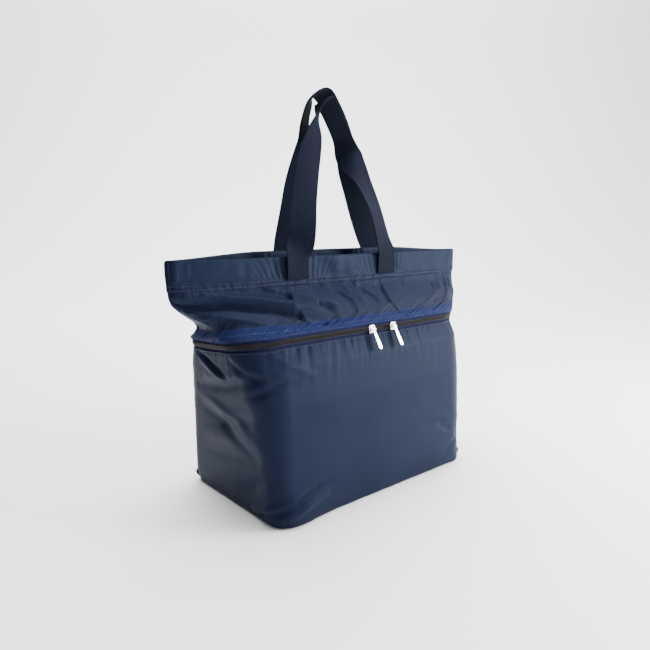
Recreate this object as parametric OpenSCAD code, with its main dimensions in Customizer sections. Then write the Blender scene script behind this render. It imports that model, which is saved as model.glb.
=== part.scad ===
// Soft nylon tote bag with a full-width two-slider front pocket and two webbing handles.
// Millimetres, +Z up, +X along the front, the front faces -Y.
// The origin is the centre of the base, on the surface the bag stands on.

/* [Bag body] */
// Width of the bag along its top edge
rim_w = 540; // [500:5:580]
// Depth of the base from front to back
base_d = 210; // [190:2:230]
// Height of the top edge above the base
body_h = 330; // [310:5:350]
// Thickness of the body cloth with its coating and backing
cloth_t = 1.5; // [1.2:0.1:1.6]

/* [Top hem] */
// Height of the band that turns over along the top edge
hem_h = 36; // [34:1:38]

/* [Handles] */
// Width of the handle webbing
strap_w = 38; // [34:1:40]
// Thickness of the handle webbing
strap_t = 2.2; // [1.8:0.1:2.4]
// Distance of each handle leg from the middle of the bag
strap_x = 86; // [80:1:92]
// How far the back handle stands to the right of the front one
back_shift = 11; // [0:1:12]
// Length of the sewn end of each handle leg below the hem
anchor_l = 46; // [36:1:48]

/* [Zipper] */
// Height of the zipper chain above the base
zip_z = 230; // [228:1:232]
// Width of one half of the coil
coil_h = 2.3; // [2:0.1:2.6]
// Gap between the two halves of the coil
coil_gap = 1.6; // [1.4:0.1:1.8]
// Height of the decorative ribbon above the zipper
ribbon_h = 13; // [10:1:16]
// Place of the left slider along the chain
slider_left_x = -4; // [-40:1:10]
// Place of the right slider along the chain
slider_right_x = 38; // [26:1:60]
// Length of each slider
slider_l = 11; // [10:0.5:13]

/* [Zipper pulls] */
// Length of a pull from its hinge bar to its tip
pull_l = 30; // [26:1:34]
// Width of a pull
pull_w = 6; // [5.5:0.5:7]
// Lean of a hanging pull away from the vertical, in degrees
pull_lean = 32; // [28:1:34]
// Radius of the bar that a pull turns on
bar_r = 0.9; // [0.8:0.05:1]

/* [Hidden] */

kx = rim_w / 540;
ky = base_d / 210;
kz = body_h / 330;
// Half width of the body at a height
WX = [[0, 184], [20, 187], [80, 190], [150, 196], [200, 205], [222, 210], [238, 215], [250, 226], [256, 237], [262, 249], [268, 258], [276, 265], [285, 267], [300, 269], [330, 270]];
// Half depth of the body at a height
WY = [[0, 108], [20, 109], [80, 108], [150, 103], [200, 93], [222, 82], [238, 82], [256, 62], [268, 46], [285, 29], [300, 21], [330, 20]];
// How far the soft upper part leans to the right at a height
OX = [[0, 0], [238, 0], [244, 5], [250, 12], [256, 15], [262, 13], [268, 8], [276, 3], [285, 0], [330, 0]];
// Length of the rounded corners along X and along Y at a height
RX = [[0, 26], [80, 34], [150, 42], [200, 52], [222, 60], [238, 66], [256, 140], [268, 210], [285, 255], [300, 267], [330, 270]];
RY = [[0, 26], [80, 34], [150, 42], [200, 48], [222, 50], [238, 50], [256, 48], [268, 44], [285, 29], [300, 21], [330, 20]];
// Where the two side seams run round the outline, in quarter turns
SL = [[0, 1.65], [150, 1.68], [238, 1.72], [256, 1.88], [268, 2], [330, 2]];
SR = [[0, 3.65], [150, 3.68], [238, 3.72], [256, 3.88], [268, 4], [330, 4]];
// How far the loaded cloth hangs down at the left end, round the outline and over the height
SAG = [[1.35, 0], [1.5, 5], [1.75, 14], [2, 10], [2.25, 3], [2.4, 0]];
HANG = [[0, 0], [120, 0], [200, 1], [245, 1], [258, 0.4], [270, 0]];

function hx(z) = kx * lookup(z / kz, WX);
function hy(z) = ky * lookup(z / kz, WY);
function ox(z) = kx * lookup(z / kz, OX);
function rx(z) = min(hx(z), kx * lookup(z / kz, RX));
function ry(z) = min(hy(z), ky * lookup(z / kz, RY));

// Point of one quarter of the outline, w = 0 at the side and 1 at the middle of the front or back
function quarter(a, b, p, q, w) =
    let (l1 = b - q, l2 = 90 * PI / 180 * sqrt((p * p + q * q) / 2), l3 = a - p, s = w * (l1 + l2 + l3))
    s < l1 ? [a, s] :
    s < l1 + l2 ? [a - p + p * cos((s - l1) / l2 * 90), b - q + q * sin((s - l1) / l2 * 90)] :
    [max(0, l3 - (s - l1 - l2)), b];
// Point of the outline at height z, u quarter turns from +X through +Y, d inside the surface
function outline(z, u, d) =
    let (v = u - 4 * floor(u / 4), a = hx(z) - d, b = hy(z) - d,
         p = max(2, min(a, rx(z) - d)), q = max(2, min(b, ry(z) - d)),
         w = v < 1 ? v : v < 2 ? 2 - v : v < 3 ? v - 2 : 4 - v,
         c = quarter(a, b, p, q, w))
    [ox(z) + (v < 1 || v >= 3 ? c[0] : -c[0]), v < 2 ? c[1] : -c[1], z - kz * lookup(v, SAG) * lookup(z / kz, HANG)];
// Y of the front surface at x and z
function front_y(x, z, d) =
    let (a = hx(z) - d, b = hy(z) - d, p = min(a, rx(z) - d), q = min(b, ry(z) - d), e = abs(x - ox(z)) - (a - p))
    e <= 0 ? -b : -(b - q + q * sqrt(max(0, 1 - (e / p) * (e / p))));

// Closed solid between two grids of points, outer grid G and inner grid H
module slab(G, H, col) {
    n = len(G);
    m = len(G[0]);
    pts = concat([for (r = G) each r], [for (r = H) each r]);
    function o(i, j) = i * m + j;
    function k(i, j) = n * m + i * m + j;
    faces = concat(
        [for (i = [0 : n - 2], j = [0 : m - 2]) each [[o(i, j), o(i + 1, j), o(i + 1, j + 1)], [o(i, j), o(i + 1, j + 1), o(i, j + 1)]]],
        [for (i = [0 : n - 2], j = [0 : m - 2]) each [[k(i, j), k(i + 1, j + 1), k(i + 1, j)], [k(i, j), k(i, j + 1), k(i + 1, j + 1)]]],
        [for (j = [0 : m - 2]) each [[o(0, j), o(0, j + 1), k(0, j + 1)], [o(0, j), k(0, j + 1), k(0, j)]]],
        [for (j = [0 : m - 2]) each [[o(n - 1, j), k(n - 1, j + 1), o(n - 1, j + 1)], [o(n - 1, j), k(n - 1, j), k(n - 1, j + 1)]]],
        [for (i = [0 : n - 2]) each [[o(i, 0), k(i + 1, 0), o(i + 1, 0)], [o(i, 0), k(i, 0), k(i + 1, 0)]]],
        [for (i = [0 : n - 2]) each [[o(i, m - 1), o(i + 1, m - 1), k(i + 1, m - 1)], [o(i, m - 1), k(i + 1, m - 1), k(i, m - 1)]]]);
    color(col) polyhedron(points = pts, faces = faces, convexity = 8);
}

// Cloth between two depths d0 and d1, over heights zs, from seam function values, s columns
function cloth(zs, us, s, d) = [for (z = zs) [for (j = [0 : s]) let (u = us(z)) outline(z, u[0] + (u[1] - u[0]) * j / s, d)]];
function around_front(z) = [lookup(z / kz, SL) + 0.004, lookup(z / kz, SR) - 0.004];
function around_back(z) = [lookup(z / kz, SR) + 0.004 - 4, lookup(z / kz, SL) - 0.004];
// Flat-laid piece on the front surface over x0 to x1
function patch(x0, x1, z0, z1, n, d, s) = [for (i = [0 : n]) [for (j = [0 : 4])
    let (z = z0 + (z1 - z0) * i / n, x = x0 + (x1 - x0) * j / 4)
    s > 0 ? [x, front_y(x, z, d), z] : [-x, -front_y(x, z, d), z]]];

// Heights at which every piece of cloth has a ring of points, so that layers lie evenly on each other
RINGS = [10, 22, 45, 80, 115, 150, 175, 200, 211, 222, 230, 238, 244, 250, 256, 262, 268, 276, 285, 292, 300, 315];
function rings(z0, z1) = [z0, each [for (r = RINGS) if (r > z0 + 0.4 && r < z1 - 0.4) r], z1];

nylon = [0.22, 0.27, 0.37];
nylon_dark = [0.17, 0.21, 0.29];
webbing = [0.13, 0.16, 0.24];
tape_col = [0.17, 0.18, 0.38];
ribbon_col = [0.25, 0.33, 0.56];
coil_col = [0.24, 0.23, 0.25];
nickel = [0.85, 0.86, 0.88];

ztop = zip_z + 6.5;
zlow = zip_z - 6.2;

module front_panel_lower() {
    zs = rings(0, zlow);
    slab(cloth(zs, function (z) around_front(z), 44, 0), cloth(zs, function (z) around_front(z), 44, cloth_t), nylon);
}

module front_panel_upper() {
    zs = rings(ztop, body_h - hem_h + 2);
    slab(cloth(zs, function (z) around_front(z), 44, 0), cloth(zs, function (z) around_front(z), 44, cloth_t), nylon);
}

module back_panel() {
    zs = rings(0, body_h - hem_h + 2);
    slab(cloth(zs, function (z) around_back(z), 44, 0), cloth(zs, function (z) around_back(z), 44, cloth_t), nylon);
}

module base_panel() {
    color(nylon_dark) linear_extrude(cloth_t)
        polygon([for (j = [0 : 79]) let (p = outline(0, j / 20, cloth_t + 0.3)) [p[0], p[1]]]);
}

// Band of cloth round half of the top edge
module band(front, d0, d1, col) {
    zs = rings(body_h - hem_h, body_h);
    us = function (z) front ? around_front(z) : around_back(z);
    slab(cloth(zs, us, 44, d0), cloth(zs, us, 44, d1), col);
}
module hem_band_front() band(true, -1, -0.1, nylon);
module hem_band_back() band(false, -1, -0.1, nylon);
module hem_facing_front() band(true, cloth_t + 0.1, cloth_t + 1, nylon_dark);
module hem_facing_back() band(false, cloth_t + 0.1, cloth_t + 1, nylon_dark);

// Folded tape that binds the raw edges of a side seam, inside the bag
module binding(table) {
    zs = rings(4, body_h - hem_h - 2);
    us = function (z) [lookup(z / kz, table) - 0.02, lookup(z / kz, table) + 0.02];
    slab(cloth(zs, us, 4, cloth_t + 0.9), cloth(zs, us, 4, cloth_t + 1.9), nylon_dark);
}
module side_seam_binding_left() binding(SL);
module side_seam_binding_right() binding(SR);

module base_seam_binding() {
    color(nylon_dark) translate([0, 0, cloth_t + 0.2]) linear_extrude(1) difference() {
        polygon([for (j = [0 : 79]) let (p = outline(2, j / 20, cloth_t + 0.5)) [p[0], p[1]]]);
        polygon([for (j = [0 : 79]) let (p = outline(2, j / 20, cloth_t + 9)) [p[0], p[1]]]);
    }
}

// Short stitched dart that squares a lower corner, with its end standing proud of the seam
module dart(s) {
    p = outline(8, s, 0);
    a = atan2(p[1], p[0]);
    color(nylon) translate([p[0], p[1], 9]) rotate([0, 0, a])
        translate([0.4, 0, 0]) rotate([90, 0, 0]) linear_extrude(2.4, center = true)
            polygon([[0, -7], [5, -1], [7, 2], [5, 5], [2.2, 12]]);
}
module corner_dart_left() dart(1.65);
module corner_dart_right() dart(3.65);

module pocket_lining() {
    zs = rings(6, 244);
    us = function (z) [2.16, 3.66];
    slab(cloth(zs, us, 30, 5.2), cloth(zs, us, 30, 6), nylon_dark);
}

module ribbon_tape() {
    zs = rings(ztop, ztop + ribbon_h);
    slab(cloth(zs, function (z) around_front(z), 44, -0.9), cloth(zs, function (z) around_front(z), 44, -0.1), ribbon_col);
}

// Zipper tape: the cloth's own columns without the first and the last, so it stops before the seams
module tape(z0, z1) {
    zs = rings(z0, z1);
    us = function (z) let (u = around_front(z), e = (u[1] - u[0]) / 44) [u[0] + e, u[1] - e];
    slab(cloth(zs, us, 42, cloth_t + 0.3), cloth(zs, us, 42, cloth_t + 1), tape_col);
}
module zipper_tape_upper() tape(zip_z + 1, zip_z + 15);
module zipper_tape_lower() tape(zip_z - 15, zip_z - 1);

module coil(z0) {
    zs = rings(z0, z0 + coil_h);
    slab(cloth(zs, function (z) around_front(z), 44, 0.3), cloth(zs, function (z) around_front(z), 44, cloth_t + 0.05), coil_col);
}
module zipper_coil_upper() coil(zip_z + coil_gap / 2);
module zipper_coil_lower() coil(zip_z - coil_gap / 2 - coil_h);

// Sewn end of a handle leg, behind the cloth below the hem
module strap_end(x, s) {
    z1 = body_h - hem_h - 1;
    slab(patch(x - strap_w / 2, x + strap_w / 2, z1 - anchor_l, z1, 6, cloth_t + 1.6, s),
         patch(x - strap_w / 2, x + strap_w / 2, z1 - anchor_l, z1, 6, cloth_t + 1.6 + strap_t, s), webbing);
}
module strap_end_front_left() strap_end(-strap_x, 1);
module strap_end_front_right() strap_end(strap_x - 2, 1);
module strap_end_back_left() strap_end(strap_x - back_shift, -1);
module strap_end_back_right() strap_end(-strap_x - back_shift, -1);

// Handle routes: x, y, height above the hem line, turn of the webbing's edge about Z, tilt of that edge
hz = body_h - 30.5;
FRONT_ROUTE = [
    [-strap_x, -23.4, 0, -178, 0], [-strap_x, -23.4, 31, -178, 0], [-81, -23, 48, -212, 0],
    [-77, -22, 70, -202, 0], [-73, -20, 99, -192, 0], [-67, -18, 128, -187, 0],
    [-60, -15, 154, -181, 0], [-52, -12, 176, -173, 0], [-44, -10, 194, -160, 2],
    [-38, -8, 209, -142, 3], [-35, -6, 221, -122, 5], [-32, -5.5, 233, -107, 7],
    [-28, -5, 240, -97, 9], [-25, -4.5, 243, -90, 10], [-22, -4.5, 241, -90, 10],
    [-15, -4.5, 230, -90, 8], [-7, -5, 218, -89, 5], [1, -5.5, 205, -88, 3],
    [12, -6.5, 186, -80, 0], [14, -8, 174, -62, 0], [20, -9, 165, -32, 0],
    [29, -11, 156, -8, 0], [37, -13, 145, 4, 0], [43, -14, 135, 11, 0],
    [56, -17, 111, 17, 0], [67, -19, 87, 19, 0], [75, -21.5, 58, 16, 0],
    [80, -23, 41, 11, 0], [strap_x - 2, -23.4, 31, 5, 0], [strap_x - 2, -23.4, 0, 2, 0]];
BACK_ROUTE = [
    [back_shift - strap_x, 23.4, 0, -180, 0], [back_shift - strap_x, 23.4, 31, -180, 0], [-72, 23, 45, -188, 0],
    [-67, 22.5, 65, -191, 0], [-61, 21.5, 93, -192, 0], [-55, 20, 123, -191, 0],
    [-48, 19, 146, -189, 0], [-41, 17.5, 170, -183, 0], [-40, 16.5, 185, -171, 0],
    [-43, 15, 196, -158, 0], [-46, 13.5, 206, -147, 0], [-45, 12, 216, -141, 0],
    [-43, 11, 226, -140, 0], [-41, 9.5, 234, -139, 1], [-39, 7, 242, -133, 3],
    [-37, 4.5, 248, -117, 6], [-33, 3, 252, -98, 9], [-27, 2, 254, -90, 10],
    [-21, 2, 252, -90, 10], [-9, 3, 239, -90, 8], [5, 5.5, 224, -90, 5],
    [18, 9, 209, -90, 2], [31, 13, 190, -86, 0], [40, 16, 176, -66, 0],
    [47, 18, 151, -44, 0], [57, 19.5, 129, -34, 0], [71, 21, 92, -22, 0],
    [84, 22.5, 60, -9, 0], [back_shift + strap_x, 23.4, 31, 0, 0], [back_shift + strap_x, 23.4, 0, 0, 0]];

function unit(v) = v / norm(v);
function smooth(R, t) =
    let (n = len(R) - 1, i = min(n - 1, floor(t)), f = t - i,
         a = R[max(0, i - 1)], b = R[i], c = R[i + 1], e = R[min(n, i + 2)])
    0.5 * (2 * b + (c - a) * f + (2 * a - 5 * b + 4 * c - e) * f * f + (3 * b - a - 3 * c + e) * f * f * f);
module webbing_sweep(R, per) {
    n = (len(R) - 1) * per;
    P = [for (i = [0 : n]) smooth(R, i / per)];
    C = [for (p = P) [p[0], p[1], p[2] + hz]];
    T = [for (i = [0 : n]) i == 0 ? [0, 0, 1] : i == n ? [0, 0, -1] : unit(C[i + 1] - C[i - 1])];
    W = [for (i = [0 : n]) let (w = [cos(P[i][3]) * cos(P[i][4]), sin(P[i][3]) * cos(P[i][4]), sin(P[i][4])]) unit(w - (w * T[i]) * T[i])];
    N = [for (i = [0 : n]) cross(T[i], W[i])];
    hw = strap_w / 2;
    ht = strap_t / 2;
    pts = [for (i = [0 : n]) each [C[i] + hw * W[i] + ht * N[i], C[i] - hw * W[i] + ht * N[i], C[i] - hw * W[i] - ht * N[i], C[i] + hw * W[i] - ht * N[i]]];
    faces = concat([[0, 1, 2], [0, 2, 3]], [[4 * n, 4 * n + 2, 4 * n + 1], [4 * n, 4 * n + 3, 4 * n + 2]],
        [for (i = [0 : n - 1], j = [0 : 3]) each let (a = 4 * i + j, b = 4 * i + (j + 1) % 4) [[a, a + 4, b + 4], [a, b + 4, b]]]);
    color(webbing) polyhedron(points = pts, faces = faces, convexity = 10);
}
module handle_front() webbing_sweep(FRONT_ROUTE, 3);
module handle_back() webbing_sweep(BACK_ROUTE, 3);

// Zipper slider: outer and inner plates, the post between them, guide flanges and the hinge bar.
// Local frame: X along the chain, Y into the bag from the cloth's surface, Z up, centred on the chain.
bar_y = -3.4;
module slider_body() {
    pl = slider_l;
    color(nickel) {
        difference() {
            union() {
                translate([-pl / 2, -0.9, -5.5]) cube([pl, 0.9, 11]);
                translate([-pl / 2, -0.2, 4.7]) cube([pl, 1.3, 0.8]);
                translate([-pl / 2, -0.2, -5.5]) cube([pl, 1.3, 0.8]);
                translate([-1.6, -0.2, -0.45]) cube([3.2, 3.5, 0.9]);
                translate([-pl / 2, 2.9, -5.5]) cube([pl, 0.9, 11]);
                for (s = [-1, 1]) translate([s * 3.6, 0, 0]) rotate([90, 0, 0])
                    linear_extrude(-bar_y + 0.001) square([1.2, 2.4], center = true);
                for (s = [-1, 1]) translate([s * 3.6 - 0.6, bar_y, 0]) rotate([0, 90, 0]) cylinder(r = 1.2, h = 1.2, $fn = 32);
            }
            for (s = [-1, 1]) translate([s * pl / 2, 5, 0]) rotate([90, 0, 0]) for (t = [-1, 1])
                translate([0, t * 5.5, 0]) cylinder(r = 1.6, h = 12, $fn = 32);
        }
        translate([-3.4, bar_y, 0]) rotate([0, 90, 0]) cylinder(r = bar_r, h = 6.8, $fn = 32);
    }
}
module slider_left() translate([slider_left_x, front_y(0, zip_z, 0), zip_z]) slider_body();
module slider_right() translate([slider_right_x, front_y(0, zip_z, 0), zip_z]) slider_body();

// Pull: a rolled eye round the hinge bar and a flat tab with a rounded end and an eyelet
module pull() {
    er = bar_r + 0.06;
    color(nickel) rotate([-pull_lean, 0, 0]) difference() {
        union() {
            translate([-2.6, 0, 0]) rotate([0, 90, 0]) cylinder(r = 1.9, h = 5.2, $fn = 48);
            rotate([90, 0, 0]) linear_extrude(1.4, center = true) {
                translate([-2.3, -6]) square([4.6, 5.2]);
                polygon([[-2.3, -4.5], [2.3, -4.5], [pull_w / 2, -pull_l + pull_w / 2], [-pull_w / 2, -pull_l + pull_w / 2]]);
                translate([0, -pull_l + pull_w / 2]) circle(r = pull_w / 2, $fn = 48);
            }
        }
        translate([-4, 0, 0]) rotate([0, 90, 0]) cylinder(r = er, h = 8, $fn = 48);
        translate([0, 0, -6.4]) rotate([90, 0, 0]) cylinder(r = 1.1, h = 6, center = true, $fn = 32);
    }
}
module pull_left() translate([slider_left_x, front_y(0, zip_z, 0) + bar_y, zip_z]) pull();
module pull_right() translate([slider_right_x, front_y(0, zip_z, 0) + bar_y, zip_z]) pull();

front_panel_lower();
front_panel_upper();
back_panel();
base_panel();
hem_band_front();
hem_band_back();
hem_facing_front();
hem_facing_back();
side_seam_binding_left();
side_seam_binding_right();
base_seam_binding();
corner_dart_left();
corner_dart_right();
pocket_lining();
ribbon_tape();
zipper_tape_upper();
zipper_tape_lower();
zipper_coil_upper();
zipper_coil_lower();
strap_end_front_left();
strap_end_front_right();
strap_end_back_left();
strap_end_back_right();
handle_front();
handle_back();
slider_left();
slider_right();
pull_left();
pull_right();
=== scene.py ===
import bpy, bmesh, math
import numpy as np
from mathutils import Vector, Matrix


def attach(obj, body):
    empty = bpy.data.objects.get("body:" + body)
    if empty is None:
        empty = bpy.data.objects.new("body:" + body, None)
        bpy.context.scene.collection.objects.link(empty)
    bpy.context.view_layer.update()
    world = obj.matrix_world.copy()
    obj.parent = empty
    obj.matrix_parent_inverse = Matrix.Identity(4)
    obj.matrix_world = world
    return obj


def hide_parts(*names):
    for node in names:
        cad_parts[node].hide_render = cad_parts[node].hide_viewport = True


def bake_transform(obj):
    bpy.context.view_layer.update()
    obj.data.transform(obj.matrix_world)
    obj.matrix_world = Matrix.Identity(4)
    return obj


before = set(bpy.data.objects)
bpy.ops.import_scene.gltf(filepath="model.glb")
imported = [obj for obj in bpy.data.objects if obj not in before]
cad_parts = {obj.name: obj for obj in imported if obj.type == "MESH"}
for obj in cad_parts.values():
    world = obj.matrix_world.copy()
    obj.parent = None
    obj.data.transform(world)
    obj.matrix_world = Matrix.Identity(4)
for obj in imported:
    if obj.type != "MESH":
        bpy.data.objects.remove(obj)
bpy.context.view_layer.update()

RNG = np.random.default_rng(7)
MM = 0.001

# ---------------------------------------------------------------- camera
cam_data = bpy.data.cameras.new("camera")
cam = bpy.data.objects.new("camera", cam_data)
bpy.context.scene.collection.objects.link(cam)
cam_data.lens = 32.84
cam_data.sensor_width = 36
cam.location = (-0.57606, -0.65676, 0.37351)
cam.rotation_euler = (math.radians(90 - 9.7), 0, math.radians(-40.3))
bpy.context.scene.camera = cam

# ---------------------------------------------------------------- the bag's outline, millimetres
def table(rows, smooth=0):
    zs = np.arange(-20.0, 351.0, 1.0)
    v = np.interp(zs, [r[0] for r in rows], [r[1] for r in rows])
    if smooth:
        k = np.hanning(2 * smooth + 3)[1:-1]
        k /= k.sum()
        v = np.convolve(np.pad(v, smooth, mode="edge"), k, mode="valid")
    return lambda z: np.interp(z, zs, v)

hx = table([[0, 184], [20, 187], [80, 190], [150, 196], [200, 205], [222, 210], [238, 215], [250, 226], [256, 237], [262, 249], [268, 258], [276, 265], [285, 267], [300, 269], [330, 270]], 4)
hy = table([[0, 108], [20, 109], [80, 108], [150, 103], [200, 93], [222, 82], [238, 82], [256, 62], [268, 46], [285, 29], [300, 21], [330, 20]], 5)
ox = table([[0, 0], [238, 0], [244, 5], [250, 12], [256, 15], [262, 13], [268, 8], [276, 3], [285, 0], [330, 0]], 4)
rx = table([[0, 26], [80, 34], [150, 42], [200, 52], [222, 60], [238, 66], [256, 140], [268, 210], [285, 255], [300, 267], [330, 270]], 6)
ry = table([[0, 26], [80, 34], [150, 42], [200, 48], [222, 50], [238, 50], [256, 48], [268, 44], [285, 29], [300, 21], [330, 20]], 5)
seam_l = table([[0, 1.65], [150, 1.68], [238, 1.72], [256, 1.88], [268, 2], [330, 2]], 6)
hang = table([[0, 0], [120, 0], [200, 1], [245, 1], [258, 0.4], [270, 0]], 6)
SAG_U = [-0.4, 1, 1.4, 1.75, 2, 2.25, 2.45, 4.4]
SAG_V = [0, 0, 6, 14, 10, 3, 0, 0]

def outline(z, u, d=0.0):
    """Points of the bag's surface, millimetres: height z, u quarter turns from +X through +Y, d inside."""
    z, u = np.broadcast_arrays(np.asarray(z, float), np.asarray(u, float))
    v = np.mod(u, 4.0)
    a, b = hx(z) - d, hy(z) - d
    # the corner with the right side seam is rounder than the other three
    more = np.where(v >= 3, 9.0, -4.0) * np.interp(z, [0, 20, 225, 250], [0, 1, 1, 0])
    p = np.clip(np.minimum(a, rx(z) + more - d), 2, None)
    q = np.clip(np.minimum(b, ry(z) + more - d), 1, None)
    w = np.where(v < 1, v, np.where(v < 2, 2 - v, np.where(v < 3, v - 2, 4 - v)))
    l1, l2, l3 = b - q, math.pi / 2 * np.sqrt((p * p + q * q) / 2), a - p
    s = w * (l1 + l2 + l3)
    t = np.clip((s - l1) / l2, 0, 1) * math.pi / 2
    x = np.where(s < l1, a, np.where(s < l1 + l2, l3 + p * np.cos(t), np.clip(l3 - (s - l1 - l2), 0, None)))
    y = np.where(s < l1, s, np.where(s < l1 + l2, l1 + q * np.sin(t), b))
    x = ox(z) + np.where((v < 1) | (v >= 3), x, -x)
    y = np.where(v < 2, y, -y)
    zz = z - np.interp(v, SAG_U, SAG_V) * hang(z)
    return np.stack([x, y, zz], -1)

# ---------------------------------------------------------------- cloth body as one grid: rows up, columns round
NF, NB = 128, 112                       # columns of the front (left seam to right seam) and of the back
row_z = np.concatenate([np.array([0.0, 2.5, 6.0, 10.5, 15.5]), np.linspace(20, 222, 44), np.linspace(226, 238, 4),
                        np.zeros(0)])
zz = np.arange(238, 296.01, 0.25)
arc = np.concatenate([[0], np.cumsum(np.hypot(np.diff(zz), np.diff(hy(zz))))])
row_z = np.concatenate([row_z, np.interp(np.linspace(0, arc[-1], 21)[1:], arc, zz), np.linspace(296, 330, 9)[1:]])
NR = len(row_z)
R_LOW, R_UP, R_HEM = int(np.argmin(abs(row_z - 222))), int(np.argmin(abs(row_z - 238))), int(np.argmin(abs(row_z - 296)))
NC = NF + NB

def sstep(x, a, b):
    t = np.clip((x - a) / (b - a), 0, 1)
    return t * t * (3 - 2 * t)

def grid_u(z):
    sl, sr = seam_l(z), seam_l(z) + 2.0
    f = np.arange(NF) / NF
    b = np.arange(NB) / NB
    return np.concatenate([sl + (sr - sl) * f, sr + (sl + 4 - sr) * b])

def body_grid():
    G = np.zeros((NR, NC, 3))
    for i, z in enumerate(row_z):
        inset = 2.2 * (1 - math.sqrt(max(0, 1 - ((9 - z) / 9) ** 2))) if z < 9 else 0.0
        G[i] = outline(z, grid_u(z), inset)
        # the rim leans a few millimetres to the right, and the lower front-left corner is pushed out by the load
        G[i, :, 0] += np.interp(z, [250, 275, 300, 330], [0, 2, 4, 4]) + 1.5 * np.interp(z, [250, 300], [0, 1]) * np.clip(G[i, :, 0] / 270, 0, 1)
        G[i, :, 1] -= 5.5 * np.exp(-((G[i, :, 0] + 150) / 38) ** 2) * (G[i, :, 1] < 0) * (1 - sstep(z, 5, 75))
        # the back of the rim stands a little higher than the front
        x, y = G[i, :, 0], G[i, :, 1]
        G[i, :, 2] += 6.5 * np.interp(z, [303, 309, 324, 330], [0, 0.7, 5.8, 6.5]) / 6.5 * (y > 0) * (1 - sstep(abs(x), 120, 262))
        G[i, :, 2] = np.maximum(G[i, :, 2], 0.6)
    return G

def grid_normals(G):
    du = np.roll(G, -1, 1) - np.roll(G, 1, 1)
    dz = np.gradient(G, axis=0)
    n = np.cross(du, dz)
    return n / np.maximum(1e-9, np.linalg.norm(n, axis=-1, keepdims=True))

def mesh_object(name, verts, faces, smooth=True):
    me = bpy.data.meshes.new(name)
    me.from_pydata([tuple(v) for v in np.asarray(verts, float)], [], [tuple(int(i) for i in f) for f in faces])
    me.validate()
    ob = bpy.data.objects.new(name, me)
    bpy.context.scene.collection.objects.link(ob)
    if smooth:
        me.polygons.foreach_set("use_smooth", np.ones(len(me.polygons), bool))
    return ob

# ---------------------------------------------------------------- cloth simulation of the whole body
def smooth_noise(x, y, seed, scale):
    """Value noise on a plane, -1..1, from a seeded table."""
    r = np.random.default_rng(seed).uniform(-1, 1, (97, 89))
    a, b = np.asarray(x) / scale + 500, np.asarray(y) / scale + 500
    i, j = np.floor(a).astype(int), np.floor(b).astype(int)
    f, g = a - i, b - j
    f, g = f * f * (3 - 2 * f), g * g * (3 - 2 * g)
    v = lambda p, q: r[p % 97, q % 89]
    return (v(i, j) * (1 - f) + v(i + 1, j) * f) * (1 - g) + (v(i, j + 1) * (1 - f) + v(i + 1, j + 1) * f) * g

# distance round the body in millimetres from the left seam, at the height of the lower panel
COL_S = np.concatenate([np.arange(NF) / NF * 548.0, 548.0 + np.arange(NB) / NB * 548.0])

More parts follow.
